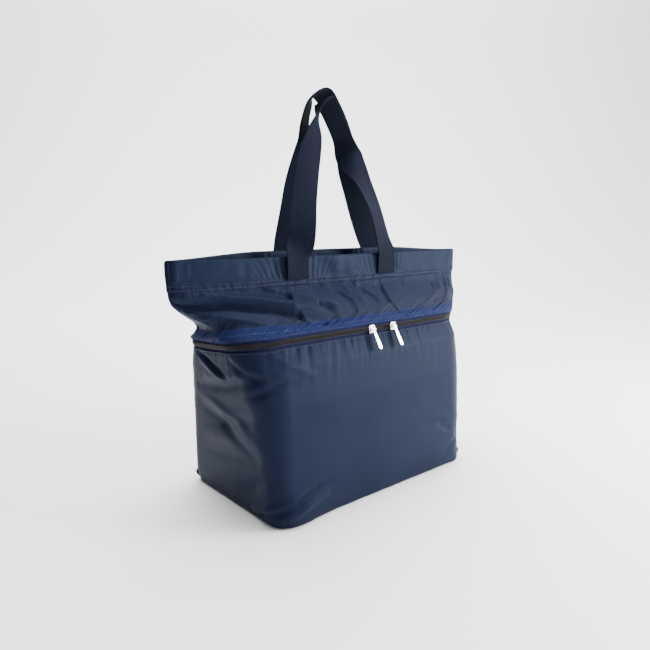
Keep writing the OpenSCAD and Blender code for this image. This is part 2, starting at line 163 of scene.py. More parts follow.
def simulate_body(G):
    n = G.shape[0] * G.shape[1]
    idx = np.arange(n).reshape(NR, NC)
    nx = np.roll(idx, -1, 1)
    faces = np.stack([idx[:-1], nx[:-1], nx[1:], idx[1:]], -1).reshape(-1, 4)
    S = 0.01                            # millimetres to simulation units: the bag is 5.4 units wide
    ob = mesh_object("cloth_sim", (G * S).reshape(-1, 3), faces)
    # unstretched cloth: a tube of even girth, a little fuller where it is gathered into a seam
    girth = np.linalg.norm(np.roll(G, -1, 1) - G, axis=-1).sum(1)
    full = np.maximum(1098.0, girth * 1.004)
    z = row_z
    full = full * (1 + 0.055 * np.exp(-((z - 215) / 9.0) ** 2) + 0.05 * np.exp(-((z - 300) / 12.0) ** 2) + 0.03 * np.exp(-((z - 286) / 9.0) ** 2)
                   + 0.02 * np.clip((z - 300) / 20, 0, 1) + 0.03 * np.exp(-((z - 246) / 7.0) ** 2))
    gap = np.linalg.norm(np.diff(G, axis=0), axis=-1)
    step = np.median(gap[:, NF // 2 - 20:NF // 2 + 20], axis=1)
    height = np.concatenate([[0], np.cumsum(step * (1.0 + 0.02 * (row_z[1:] > 238) * (row_z[1:] < 296)))])
    ang = 2 * math.pi * COL_S / 1096.0
    rest = np.zeros_like(G)
    for i in range(NR):
        R = full[i] / (2 * math.pi)
        rest[i, :, 0], rest[i, :, 1], rest[i, :, 2] = -R * np.cos(ang), -R * np.sin(ang), height[i]
    ob.shape_key_add(name="Basis")
    k = ob.shape_key_add(name="rest")
    k.data.foreach_set("co", (rest * S).reshape(-1).astype(np.float32))
    k.value = 0
    pin = np.zeros((NR, NC))
    Z = row_z[:, None] + 0 * pin
    pin[Z < 8] = 1
    pin[(Z >= 8) & (Z < 215)] = 0.42
    pin[(Z > 221.5) & (Z < 238.5)] = 1
    pin[(Z > 294) & (Z < 298.5)] = 1
    pin[Z > 327] = 0.5
    X, Y = G[..., 0], G[..., 1]
    near = (Z > 290) & (((Y < 0) & ((abs(X + 86) < 22) | (abs(X - 84) < 22))) | ((Y > 0) & ((abs(X + 75) < 22) | (abs(X - 97) < 22))))
    pin[near] = 1
    vg = ob.vertex_groups.new(name="pin")
    for w in np.unique(pin):
        if w > 0:
            vg.add([int(i) for i in idx[pin == w].reshape(-1)], float(w), "REPLACE")
    md = ob.modifiers.new("Cloth", "CLOTH")
    st = md.settings
    st.quality = 5
    st.mass = 0.25
    st.air_damping = 2
    st.tension_stiffness = st.compression_stiffness = 25
    st.shear_stiffness = 6
    st.bending_stiffness = 0.35
    st.tension_damping = st.compression_damping = 10
    st.shear_damping = 8
    st.bending_damping = 0.5
    st.vertex_group_mass = "pin"
    st.pin_stiffness = 8
    st.rest_shape_key = k
    st.effector_weights.gravity = 0.35
    md.collision_settings.use_collision = False
    md.point_cache.frame_start, md.point_cache.frame_end = 1, 40
    sc = bpy.context.scene
    for f in range(1, 33):
        sc.frame_set(f)
    dg = bpy.context.evaluated_depsgraph_get()
    ev = ob.evaluated_get(dg)
    co = np.zeros(n * 3, np.float32)
    ev.data.vertices.foreach_get("co", co)
    out = co.reshape(NR, NC, 3).astype(float) / S
    sc.frame_set(1)
    me = ob.data
    bpy.data.objects.remove(ob)
    bpy.data.meshes.remove(me)
    return out

# ---------------------------------------------------------------- materials
def new_mat(name, base, rough, metallic=0.0):
    m = bpy.data.materials.new(name)
    m.use_nodes = True
    nt = m.node_tree
    b = nt.nodes["Principled BSDF"]
    b.inputs["Base Color"].default_value = (*base, 1)
    b.inputs["Roughness"].default_value = rough
    b.inputs["Metallic"].default_value = metallic
    return m, nt, b

def add(nt, kind, **kw):
    n = nt.nodes.new(kind)
    for k, v in kw.items():
        if k.startswith("i_"):
            n.inputs[k[2:].replace("_", " ")].default_value = v
        else:
            setattr(n, k, v)
    return n

def lnk(nt, a, b):
    nt.links.new(a, b)

def maths(nt, op, a, b=None, clamp=False):
    n = nt.nodes.new("ShaderNodeMath")
    n.operation = op
    n.use_clamp = clamp
    for i, v in enumerate((a, b)):
        if v is None:
            continue
        if isinstance(v, (int, float)):
            n.inputs[i].default_value = v
        else:
            nt.links.new(v, n.inputs[i])
    return n.outputs[0]

def ramp(nt, fac, stops):
    n = nt.nodes.new("ShaderNodeValToRGB")
    cr = n.color_ramp
    while len(cr.elements) < len(stops):
        cr.elements.new(0.5)
    for e, (p, c) in zip(cr.elements, stops):
        e.position = p
        e.color = (*c, 1)
    nt.links.new(fac, n.inputs[0])
    return n.outputs[0]

def uvxy(nt, name="UVMap"):
    uv = add(nt, "ShaderNodeUVMap", uv_map=name)
    sep = add(nt, "ShaderNodeSeparateXYZ")
    lnk(nt, uv.outputs[0], sep.inputs[0])
    return sep.outputs[0], sep.outputs[1], uv.outputs[0]

def weave_height(nt, x, y, pitch_x, pitch_y, twill=0.0):
    """Height of a woven surface from coordinates in metres: threads of the two pitches crossing."""
    two = 2 * math.pi
    ax = maths(nt, "MULTIPLY", x, two / pitch_x)
    ay = maths(nt, "MULTIPLY", y, two / pitch_y)
    if twill:
        ax = maths(nt, "ADD", ax, maths(nt, "MULTIPLY", ay, twill))
    return maths(nt, "MULTIPLY", maths(nt, "SINE", ax), maths(nt, "SINE", ay))

def nylon_material(name, base, light, rough=0.42, sheen=0.35):
    m, nt, b = new_mat(name, base, rough)
    x, y, uv = uvxy(nt)
    tc = add(nt, "ShaderNodeTexCoord")
    n1 = add(nt, "ShaderNodeTexNoise", i_Scale=9.0, i_Detail=5.0, i_Roughness=0.6)
    lnk(nt, tc.outputs["Object"], n1.inputs["Vector"])
    n2 = add(nt, "ShaderNodeTexNoise", i_Scale=900.0, i_Detail=2.0)
    lnk(nt, uv, n2.inputs["Vector"])
    mix = maths(nt, "ADD", maths(nt, "MULTIPLY", n1.outputs["Fac"], 0.75), maths(nt, "MULTIPLY", n2.outputs["Fac"], 0.25))
    lnk(nt, ramp(nt, mix, [(0.3, base), (0.72, light)]), b.inputs["Base Color"])
    h = weave_height(nt, x, y, 0.00085, 0.00085)
    # the fine weave with a little noise over it, as a bump
    hb = add(nt, "ShaderNodeBump", i_Strength=0.12, i_Distance=0.0002)
    lnk(nt, maths(nt, "ADD", h, maths(nt, "MULTIPLY", n2.outputs["Fac"], 1.2)), hb.inputs["Height"])
    n3 = add(nt, "ShaderNodeTexNoise", i_Scale=55.0, i_Detail=4.0, i_Roughness=0.55)
    lnk(nt, tc.outputs["Object"], n3.inputs["Vector"])
    b2 = add(nt, "ShaderNodeBump", i_Strength=0.035, i_Distance=0.002)
    lnk(nt, n3.outputs["Fac"], b2.inputs["Height"])
    lnk(nt, hb.outputs[0], b2.inputs["Normal"])
    lnk(nt, b2.outputs[0], b.inputs["Normal"])
    r = maths(nt, "ADD", rough - 0.06, maths(nt, "MULTIPLY", n1.outputs["Fac"], 0.12))
    lnk(nt, r, b.inputs["Roughness"])
    b.inputs["Sheen Weight"].default_value = sheen
    b.inputs["Sheen Roughness"].default_value = 0.45
    b.inputs["Sheen Tint"].default_value = (0.62, 0.70, 0.95, 1)
    b.inputs["Specular IOR Level"].default_value = 0.07
    b.inputs["Specular Tint"].default_value = (0.50, 0.66, 1.0, 1)
    return m

def webbing_material(name, base, light, pitch=0.0022):
    m, nt, b = new_mat(name, base, 0.75)
    x, y, uv = uvxy(nt)
    n1 = add(nt, "ShaderNodeTexNoise", i_Scale=700.0, i_Detail=3.0)
    lnk(nt, uv, n1.inputs["Vector"])
    n0 = add(nt, "ShaderNodeTexNoise", i_Scale=30.0, i_Detail=3.0)
    lnk(nt, uv, n0.inputs["Vector"])
    h = weave_height(nt, x, y, pitch, pitch * 0.8, 0.5)
    f = maths(nt, "ADD", maths(nt, "MULTIPLY", maths(nt, "ADD", h, 1.0), 0.28), maths(nt, "ADD", maths(nt, "MULTIPLY", n1.outputs["Fac"], 0.3), maths(nt, "MULTIPLY", n0.outputs["Fac"], 0.2)))
    lnk(nt, ramp(nt, f, [(0.2, base), (0.85, light)]), b.inputs["Base Color"])
    bp = add(nt, "ShaderNodeBump", i_Strength=0.9, i_Distance=0.0005)
    lnk(nt, maths(nt, "ADD", h, maths(nt, "MULTIPLY", n1.outputs["Fac"], 0.6)), bp.inputs["Height"])
    lnk(nt, bp.outputs[0], b.inputs["Normal"])
    b.inputs["Sheen Weight"].default_value = 0.05
    b.inputs["Sheen Roughness"].default_value = 0.5
    b.inputs["Sheen Tint"].default_value = (0.6, 0.68, 0.95, 1)
    b.inputs["Specular IOR Level"].default_value = 0.04
    return m

def lining_material():
    m, nt, b = new_mat("coated_reverse", (0.016, 0.022, 0.038), 0.55)
    x, y, uv = uvxy(nt)
    n1 = add(nt, "ShaderNodeTexNoise", i_Scale=260.0, i_Detail=4.0)
    lnk(nt, uv, n1.inputs["Vector"])
    lnk(nt, ramp(nt, n1.outputs["Fac"], [(0.3, (0.012, 0.017, 0.03)), (0.7, (0.022, 0.03, 0.05))]), b.inputs["Base Color"])
    bp = add(nt, "ShaderNodeBump", i_Strength=0.2, i_Distance=0.0003)
    lnk(nt, maths(nt, "ADD", weave_height(nt, x, y, 0.0009, 0.0009), n1.outputs["Fac"]), bp.inputs["Height"])
    lnk(nt, bp.outputs[0], b.inputs["Normal"])
    return m

def ribbon_material():
    """Bright blue woven ribbon: pale picots and a row of small lozenges in a paler thread."""
    m, nt, b = new_mat("woven_ribbon", (0.07, 0.1, 0.33), 0.5)
    x, y, uv = uvxy(nt)                 # x along the ribbon, y across it, metres from the middle
    v = maths(nt, "MULTIPLY", y, 1 / 0.0075)
    av = maths(nt, "ABSOLUTE", v)
    u = maths(nt, "SUBTRACT", maths(nt, "FRACT", maths(nt, "MULTIPLY", x, 1 / 0.0052)), 0.5)
    loz = maths(nt, "ADD", maths(nt, "MULTIPLY", maths(nt, "ABSOLUTE", u), 2.0), maths(nt, "MULTIPLY", av, 1.9))
    ring = maths(nt, "LESS_THAN", maths(nt, "ABSOLUTE", maths(nt, "SUBTRACT", loz, 0.66)), 0.27)
    pat = ring
    edge = maths(nt, "GREATER_THAN", av, 0.88)
    pat = maths(nt, "MAXIMUM", pat, maths(nt, "MULTIPLY", edge, 0.30))
    n1 = add(nt, "ShaderNodeTexNoise", i_Scale=1400.0, i_Detail=2.0)
    lnk(nt, uv, n1.inputs["Vector"])
    n2 = add(nt, "ShaderNodeTexNoise", i_Scale=60.0, i_Detail=2.0)
    lnk(nt, uv, n2.inputs["Vector"])
    f = maths(nt, "ADD", maths(nt, "MULTIPLY", pat, 0.32), maths(nt, "ADD", maths(nt, "MULTIPLY", n1.outputs["Fac"], 0.22), maths(nt, "MULTIPLY", n2.outputs["Fac"], 0.2)), clamp=True)
    lnk(nt, ramp(nt, f, [(0.1, (0.0055, 0.0095, 0.045)), (0.42, (0.0125, 0.0215, 0.084)), (0.95, (0.090, 0.125, 0.21))]), b.inputs["Base Color"])
    bp = add(nt, "ShaderNodeBump", i_Strength=0.5, i_Distance=0.0003)
    lnk(nt, maths(nt, "ADD", maths(nt, "MULTIPLY", pat, 1.3), maths(nt, "ADD", weave_height(nt, x, y, 0.0007, 0.0007), n1.outputs["Fac"])), bp.inputs["Height"])
    lnk(nt, bp.outputs[0], b.inputs["Normal"])
    b.inputs["Sheen Weight"].default_value = 0.0
    b.inputs["Specular IOR Level"].default_value = 0.05
    return m

def plain_fibre(name, base, light, rough=0.7, scale=1200.0, sheen=0.2, strength=0.5):
    m, nt, b = new_mat(name, base, rough)
    tc = add(nt, "ShaderNodeTexCoord")
    n1 = add(nt, "ShaderNodeTexNoise", i_Scale=scale, i_Detail=3.0)
    lnk(nt, tc.outputs["Object"], n1.inputs["Vector"])
    lnk(nt, ramp(nt, n1.outputs["Fac"], [(0.3, base), (0.7, light)]), b.inputs["Base Color"])
    bp = add(nt, "ShaderNodeBump", i_Strength=strength, i_Distance=0.0002)
    lnk(nt, n1.outputs["Fac"], bp.inputs["Height"])
    lnk(nt, bp.outputs[0], b.inputs["Normal"])
    b.inputs["Sheen Weight"].default_value = sheen
    b.inputs["Specular IOR Level"].default_value = 0.12
    return m

def tape_material():
    m, nt, b = new_mat("zipper_tape_weave", (0.03, 0.032, 0.13), 0.7)
    x, y, uv = uvxy(nt)
    n1 = add(nt, "ShaderNodeTexNoise", i_Scale=900.0, i_Detail=3.0)
    lnk(nt, uv, n1.inputs["Vector"])
    zig = maths(nt, "PINGPONG", y, 0.0016)
    h = maths(nt, "SINE", maths(nt, "MULTIPLY", maths(nt, "ADD", x, zig), 2 * math.pi / 0.0011))
    f = maths(nt, "ADD", maths(nt, "MULTIPLY", h, 0.15), n1.outputs["Fac"])
    lnk(nt, ramp(nt, f, [(0.3, (0.0055, 0.0062, 0.026)), (0.75, (0.013, 0.0145, 0.054))]), b.inputs["Base Color"])
    bp = add(nt, "ShaderNodeBump", i_Strength=0.5, i_Distance=0.0003)
    lnk(nt, maths(nt, "ADD", h, n1.outputs["Fac"]), bp.inputs["Height"])
    lnk(nt, bp.outputs[0], b.inputs["Normal"])
    b.inputs["Sheen Weight"].default_value = 0.0
    b.inputs["Specular IOR Level"].default_value = 0.08
    return m

def nickel_material():
    m, nt, b = new_mat("bright_nickel", (0.86, 0.87, 0.9), 0.16, 1.0)
    tc = add(nt, "ShaderNodeTexCoord")
    n1 = add(nt, "ShaderNodeTexNoise", i_Scale=160.0, i_Detail=4.0)
    lnk(nt, tc.outputs["Object"], n1.inputs["Vector"])
    n2 = add(nt, "ShaderNodeTexNoise", i_Scale=2500.0, i_Detail=2.0)
    lnk(nt, tc.outputs["Object"], n2.inputs["Vector"])
    lnk(nt, maths(nt, "ADD", 0.12, maths(nt, "MULTIPLY", n1.outputs["Fac"], 0.16)), b.inputs["Roughness"])
    lnk(nt, ramp(nt, n1.outputs["Fac"], [(0.25, (0.80, 0.81, 0.84)), (0.75, (0.92, 0.93, 0.95))]), b.inputs["Base Color"])
    bp = add(nt, "ShaderNodeBump", i_Strength=0.05, i_Distance=0.0001)
    lnk(nt, n2.outputs["Fac"], bp.inputs["Height"])
    lnk(nt, bp.outputs[0], b.inputs["Normal"])
    return m

M_NYLON = nylon_material("nylon_shell", (0.0062, 0.0090, 0.0215), (0.0098, 0.0144, 0.0326), 0.50, 0.0)
M_HEM = nylon_material("nylon_hem", (0.0062, 0.0090, 0.0215), (0.0098, 0.0144, 0.0326), 0.50, 0.0)
M_WEB = webbing_material("twill_webbing", (0.0018, 0.0026, 0.0066), (0.0080, 0.0112, 0.0262))
M_LIN = lining_material()
M_RIB = ribbon_material()
M_TAPE = tape_material()
M_COIL = plain_fibre("coil_monofilament", (0.010, 0.009, 0.0095), (0.022, 0.0195, 0.019), rough=0.45, scale=400.0, sheen=0.0, strength=0.1)
M_THREAD = plain_fibre("sewing_thread", (0.030, 0.027, 0.045), (0.062, 0.056, 0.085), rough=0.6, scale=3000.0, sheen=0.0)
M_NICKEL = nickel_material()

# ---------------------------------------------------------------- the finished cloth surface
BASE = body_grid()
BASE_N = grid_normals(BASE)
SIM = simulate_body(BASE + BASE_N * smooth_noise(COL_S[None, :] + 0 * BASE[..., 0], BASE[..., 2], 3, 9.0)[..., None] * 0.35)

def settle(P):
    """Takes the simulated cloth and keeps it off the floor, off the zipper and inside the space the design gives it."""
    d = P - BASE
    z = row_z[:, None]
    lim = np.interp(row_z, [0, 8, 30, 190, 221, 222, 238, 240, 262, 292, 296, 330], [0.2, 1.5, 7, 8, 5, 0.3, 0.3, 2, 8, 4, 3, 6])[:, None, None]
    n = np.linalg.norm(d, axis=-1, keepdims=True)
    d = d * np.tanh(n / lim) * lim / np.maximum(n, 1e-6)
    return BASE + d

def relax(P):
    """Evens out what the simulation leaves on the filled lower body, where the cloth is taut, and part of it above the ribbon."""
    d = P - BASE
    w = ((1 - sstep(row_z, 205, 219)) * sstep(row_z, 3, 12) + 0.6 * sstep(row_z, 242, 250) * (1 - sstep(row_z, 282, 292)))[:, None, None]
    e = d.copy()
    for _ in range(26):
        r = 0.5 * e + 0.25 * (np.roll(e, 1, 1) + np.roll(e, -1, 1))
        q = np.concatenate([r[:1], 0.5 * r[1:-1] + 0.25 * (r[:-2] + r[2:]), r[-1:]])
        e = q
    return BASE + d + w * 0.92 * (e - d)

SIM = relax(settle(SIM))
SIM_N = grid_normals(SIM)
if (SIM_N[:, 40] * (SIM[:, 40] - SIM.mean((0, 1)))).sum(-1).mean() < 0:
    SIM_N = -SIM_N
V_ROW = np.concatenate([[0], np.cumsum(np.median(np.linalg.norm(np.diff(BASE, axis=0), axis=-1)[:, NF // 2 - 20:NF // 2 + 20], axis=1))])

def catmull(A, R, C):
    """Smooth values of a grid at fractional rows R and columns C (columns go round)."""
    def weights(f):
        return np.stack([-0.5 * f + f ** 2 - 0.5 * f ** 3, 1 - 2.5 * f ** 2 + 1.5 * f ** 3, 0.5 * f + 2 * f ** 2 - 1.5 * f ** 3, -0.5 * f ** 2 + 0.5 * f ** 3])
    r0 = np.clip(np.floor(R).astype(int), 0, NR - 1)
    c0 = np.floor(C).astype(int)
    wr, wc = weights(R - r0), weights(C - c0)
    T = sum(wr[k][:, None, None] * A[np.clip(r0 + k - 1, 0, NR - 1)] for k in range(4))
    return sum(wc[k][None, :, None] * T[:, (c0 + k - 1) % NC] for k in range(4))

def row_of(z):
    return np.interp(z, row_z, np.arange(NR))

def col_of(s):
    s = np.mod(s, 1096.0)
    return np.where(s < 548, s / 548 * NF, NF + (s - 548) / 548 * NB)

def v_of(z):
    return np.interp(z, row_z, V_ROW)

def line_fold(S, V, pts, width, amp):
    """Ridge or valley along a line of [s, z, strength] points, as a height field; widths and heights in millimetres."""
    out = np.zeros_like(S)
    P = [(p[0], float(v_of(p[1])), p[2]) for p in pts]
    best = np.full(S.shape, 1e9)
    val = np.zeros_like(S)
    for (s0, v0, a0), (s1, v1, a1) in zip(P[:-1], P[1:]):
        for sh in (-1096, 0, 1096):
            ds, dv = s1 - s0, v1 - v0
            L = ds * ds + dv * dv
            t = np.clip(((S - s0 - sh) * ds + (V - v0) * dv) / L, 0, 1)
            q = np.hypot(S - s0 - sh - t * ds, V - v0 - t * dv)
            m = q < best
            best = np.where(m, q, best)
            val = np.where(m, a0 + (a1 - a0) * t, val)
    return amp * val * np.exp(-(best / width) ** 2)

# Folds laid into the cloth where the loaded body pulls on it: [[s, z, strength], ...], width, height
FOLDS = [
    # the long drape from the left wing down to the ribbon, with the hollow under it and the softer fold below
    ([[8, 288, 0.2], [50, 287, 0.7], [103, 286, 1], [150, 278, 1], [200, 264, 0.9], [245, 250, 0.3]], 8, 4.6),
    ([[20, 276, 0.4], [60, 274, 1], [110, 274, 1], [160, 265, 1], [215, 251, 0.8], [262, 242, 0.3]], 6, -4.8),
    ([[40, 262, 0.3], [90, 262, 1], [150, 252, 0.8], [190, 244, 0.2]], 7, 2.2),
    # from the left strap to the ribbon
    ([[165, 291, 0.4], [190, 279, 1], [225, 262, 1], [262, 245, 0.4]], 5, -2.6),
    ([[180, 291, 0.3], [206, 279, 0.8], [240, 262, 0.8], [270, 248, 0.2]], 5, 1.5),
    ([[236, 290, 0.5], [250, 276, 1], [276, 258, 1], [292, 246, 0.3]], 3.6, -2.0),
    ([[256, 291, 0.4], [272, 276, 1], [300, 258, 0.7], [312, 247, 0.2]], 6, 1.8),
    ([[276, 291, 0.5], [292, 277, 1], [318, 260, 0.8], [330, 248, 0.2]], 4, -2.0),
    ([[304, 291, 0.5], [318, 278, 1], [338, 260, 0.5]], 4, -1.8),
    ([[326, 291, 0.3], [340, 280, 1], [352, 262, 0.5]], 5, 1.4),
    # right of the right strap
    ([[402, 291, 0.4], [410, 280, 1], [416, 262, 0.6], [420, 250, 0.2]], 3.5, -1.8),
    ([[418, 291, 0.4], [430, 278, 1], [440, 258, 0.5]], 5, 1.6),
    ([[455, 292, 0.4], [452, 276, 1], [462, 256, 0.6]], 4, -1.9),
    ([[480, 292, 0.4], [474, 276, 1], [482, 254, 0.6]], 6, 1.6),
    # left end: tucks behind the wing
    ([[6, 284, 0.5], [20, 278, 1], [34, 270, 0.6]], 4, -3),
    ([[14, 266, 0.4], [34, 262, 1], [60, 258, 0.4]], 3.5, -2.4),
    ([[30, 270, 0.5], [52, 267, 1], [80, 268, 0.3]], 3, 1.2),
    # creases on the left face
    ([[44, 219, 0.5], [60, 212, 1], [84, 200, 1], [110, 190, 0.4]], 5, -2.6),
    ([[50, 208, 0.3], [70, 200, 0.8], [100, 188, 0.5]], 6, 1.8),
    ([[36, 165, 0.3], [80, 170, 0.8], [130, 182, 0.8], [178, 194, 0.3]], 10, -2.6),
    ([[60, 186, 0.3], [110, 190, 0.7], [150, 198, 0.2]], 9, 2.2),
    ([[150, 166, 0.3], [172, 174, 1], [196, 184, 0.4]], 6, -1.8),
    ([[46, 100, 0.2], [84, 112, 0.9], [130, 128, 0.9], [168, 142, 0.2]], 11, -2.4),
    ([[60, 84, 0.2], [110, 96, 0.8], [150, 112, 0.2]], 10, 1.8),
    ([[160, 215, 0.2], [170, 195, 0.7], [175, 165, 0.5], [178, 142, 0.2]], 10, 2.0),
    ([[30, 150, 0.2], [70, 142, 0.9], [120, 126, 0.9], [172, 100, 0.2]], 9, 1.5),
    ([[34, 128, 0.2], [74, 118, 0.9], [124, 98, 0.9], [160, 82, 0.2]], 9, -1.5),
    ([[36, 60, 0.2], [80, 66, 0.8], [130, 76, 0.8], [176, 92, 0.2]], 9, -1.2),
    ([[120, 214, 0.4], [140, 200, 0.9], [176, 186, 0.9], [214, 178, 0.2]], 6, -1.4),
    ([[180, 217, 0.4], [206, 202, 0.8], [240, 186, 0.4]], 6, 1.2),
    # lower front-left corner
    ([[148, 14, 0.3], [176, 22, 1], [212, 34, 0.8], [240, 44, 0.2]], 6, 3.0),
    ([[168, 14, 0.3], [194, 24, 1], [236, 38, 0.8], [270, 46, 0.2]], 6, -3.0),
    ([[196, 12, 0.3], [230, 24, 1], [262, 33, 0.5]], 6, 2.0),
    ([[120, 30, 0.3], [150, 44, 0.8], [180, 64, 0.3]], 10, -1.8),
    # lower right corner
    ([[482, 70, 0.3], [505, 60, 1], [530, 52, 0.5]], 5, -2.2),
    ([[470, 84, 0.2], [500, 76, 0.8], [530, 72, 0.3]], 8, 1.6),
    ([[500, 28, 0.2], [520, 36, 0.8], [540, 48, 0.3]], 6, -1.4),
    # back: the same cloth, its own creases
    ([[560, 215, 0.4], [600, 190, 1], [650, 176, 0.4]], 9, -2.8),
    ([[700, 205, 0.2], [740, 180, 0.8], [800, 168, 0.3]], 12, 2.4),
    ([[880, 214, 0.3], [920, 190, 0.9], [980, 180, 0.3]], 10, -2.6),
    ([[1000, 205, 0.3], [1040, 180, 0.9], [1080, 172, 0.3]], 10, -2.8),
    ([[600, 90, 0.2], [660, 104, 0.8], [720, 100, 0.2]], 14, 2.0),
    ([[900, 70, 0.2], [960, 84, 0.8], [1020, 80, 0.2]], 14, -2.0),
    ([[620, 20, 0.3], [650, 34, 0.9], [690, 40, 0.2]], 8, -2.2),
    ([[980, 18, 0.3], [1010, 32, 0.9], [1050, 36, 0.2]], 8, -2.2),
    ([[590, 288, 0.4], [640, 276, 1], [700, 258, 0.6], [740, 246, 0.2]], 8, 3.0),
    ([[600, 276, 0.4], [650, 264, 1], [700, 248, 0.6]], 7, -3.2),
    ([[760, 290, 0.4], [780, 270, 0.9], [820, 250, 0.3]], 7, -2.2),
    ([[880, 290, 0.4], [860, 270, 0.9], [840, 250, 0.3]], 7, -2.2),
    ([[1060, 286, 0.4], [1010, 276, 1], [950, 262, 0.6], [920, 250, 0.2]], 8, 3.0),
    ([[1050, 274, 0.4], [1000, 262, 1], [950, 250, 0.6]], 7, -3.2),
]

STRAPS = [(-86, 1), (84, 1), (-75, -1), (97, -1)]        # x of each strap end, +1 at the front and -1 at the back

def relief(S, Z, P):
    """Height of the cloth's own folds and puckers above the simulated surface, millimetres."""
    V = v_of(Z)
    D = np.zeros_like(S)
    for pts, w, a in FOLDS:
        top = pts[0][1] > 238
        D += line_fold(S, V, pts, w * (1.0 if top else 0.85), a * (1.5 if top else 1.7))
    n = lambda seed, sc, sy=1.0: smooth_noise(S, V * sy, seed, sc)
    front = (S < 548) * 1.0
    # gathers hanging from the zipper on the front, and from the hem on the whole upper part
    g = n(11, 4.6, 0.10) * 0.75 + n(12, 9.0, 0.10) * 0.8
    gs = 0.65 + 0.75 * sstep(S, 180, 240)
    D += front * g * gs * 1.0 * np.exp(-np.clip(222 - Z, 0, None) / 19.0) * (Z < 226) * sstep(222 - Z, -2.5, 4)
    g2 = n(13, 5.5, 0.12) * 0.6 + n(14, 12.0, 0.12) * 0.9
    D += g2 * 1.8 * np.exp(-np.clip(292 - Z, 0, None) / 13.0) * sstep(292.6 - Z, 0, 2) * sstep(Z, 238, 244)
    # the hem band: soft pleats between the two stitched rows and the rim
    b = n(21, 24.0, 0.35) * 1.0 + n(22, 9.0, 0.25) * 0.3
    D += b * 1.7 * sstep(Z, 299.5, 310) * (1 - 0.45 * sstep(Z, 322, 330))
    # pressed-in stitch rows with puckers from the thread
    pk = n(23, 2.4, 0.3) * 0.45 + n(24, 4.6, 0.3) * 0.55
    for zr in (299.0, 293.9):
        D += (-0.55 + 0.55 * pk) * np.exp(-((Z - zr) / 1.7) ** 2)
    D += pk * 0.8 * np.exp(-((Z - 296.5) / 3.6) ** 2)
    # puckers where the ribbon is stitched down: they cross it and run a little way into the cloth above
    rp = n(31, 2.3, 0.05) * 0.7 + n(32, 4.6, 0.05) * 0.6
    D += front * rp * 1.25 * (sstep(Z, 235, 239) * (1 - sstep(Z, 249, 261)))
    # lower edge of the zipper opening: a turned edge with its row of stitches
    D += front * (0.4 * np.exp(-((Z - 223.0) / 1.3) ** 2) - 0.45 * np.exp(-((Z - 220.9) / 1.0) ** 2) + 0.35 * pk * np.exp(-((Z - 220.5) / 2.4) ** 2))
    # side seams: a pressed line with a low ridge on either side
    for s0 in (0.0, 548.0, 1096.0):
        e = S - s0
        below = 1 - 0.6 * sstep(Z, 200, 215)
        D += below * (-1.1 * np.exp(-(e / 1.5) ** 2) + (0.55 + 0.35 * n(41, 60.0, 5.0)) * np.exp(-((abs(e) - 4.2) / 2.6) ** 2))
    # sewn strap ends under the cloth
    for xc, side in STRAPS:
        m = (P[..., 1] * side < 0)
        ex = sstep(20.3 - abs(P[..., 0] - xc), 0, 1.7)
        ez = sstep(Z, 246, 249) * (1 - sstep(Z, 291, 293))
        inside = m * ex * ez
        D = D * (1 - 0.65 * inside) + 1.5 * inside
        # small folds fanning up and down from the sewn corners
        e = abs(P[..., 0] - xc) - 20.5
        up = np.clip(Z - 299, 0, None)
        fan = np.sin(6.283 * e / (7.5 + 0.16 * up) + 0.9 * n(61, 19.0) + xc)
        D = D + m * sstep(e, 0, 3) * np.exp(-np.clip(e, 0, None) / 20.0) * fan * 1.0 * sstep(Z, 299, 306)
        dn = np.clip(292 - Z, 0, None)
        fan = np.sin(6.283 * (e - 0.25 * dn) / (8.5 + 0.1 * dn) + 0.9 * n(62, 19.0) + xc)
        D = D + m * sstep(e, 0, 3) * np.exp(-np.clip(e, 0, None) / 16.0) * fan * 0.4 * sstep(dn, 0, 4) * (1 - sstep(dn, 26, 44))
        # the hem lies flat under the webbing
        over = m * sstep(24.5 - abs(P[..., 0] - xc), 0, 5) * sstep(Z, 295, 299)
        D = D * (1 - 0.9 * over)
    # fine slack in the cloth
    D += 0.07 * n(51, 14.0, 0.7) * sstep(Z, 8, 30) + 0.9 * n(52, 95.0, 0.6) * sstep(Z, 14, 60) * (1 - sstep(Z, 200, 219))
    D += 0.06 * n(53, 26.0, 1.1) * sstep(Z, 14, 40) * (1 - sstep(Z, 200, 219))
    # long faint tension lines running down from the gathers on the front
    D += front * n(54, 11.0, 0.035) * 0.07 * sstep(S, 250, 330) * sstep(Z, 90, 200) * (1 - sstep(Z, 214, 222))
    # nothing may push the cloth into the floor
    return D * sstep(Z, 2, 12)

def surf(zs, ss, d=0.0, raised=True):
    """Points, normals, S and V over a grid of heights zs and round-distances ss, at depth d below the cloth's face."""
    zs, ss = np.asarray(zs, float), np.asarray(ss, float)
    R, C = row_of(zs), col_of(ss)
    P, N = catmull(SIM, R, C), catmull(SIM_N, R, C)
    N /= np.linalg.norm(N, axis=-1, keepdims=True)
    S = np.broadcast_to(ss[None, :], P.shape[:2]).copy()
    Z = np.broadcast_to(zs[:, None], P.shape[:2]).copy()
    D = relief(np.mod(S, 1096.0), Z, P) if raised else 0 * S
    return P + N * (D - d)[..., None], N, S, v_of(Z)

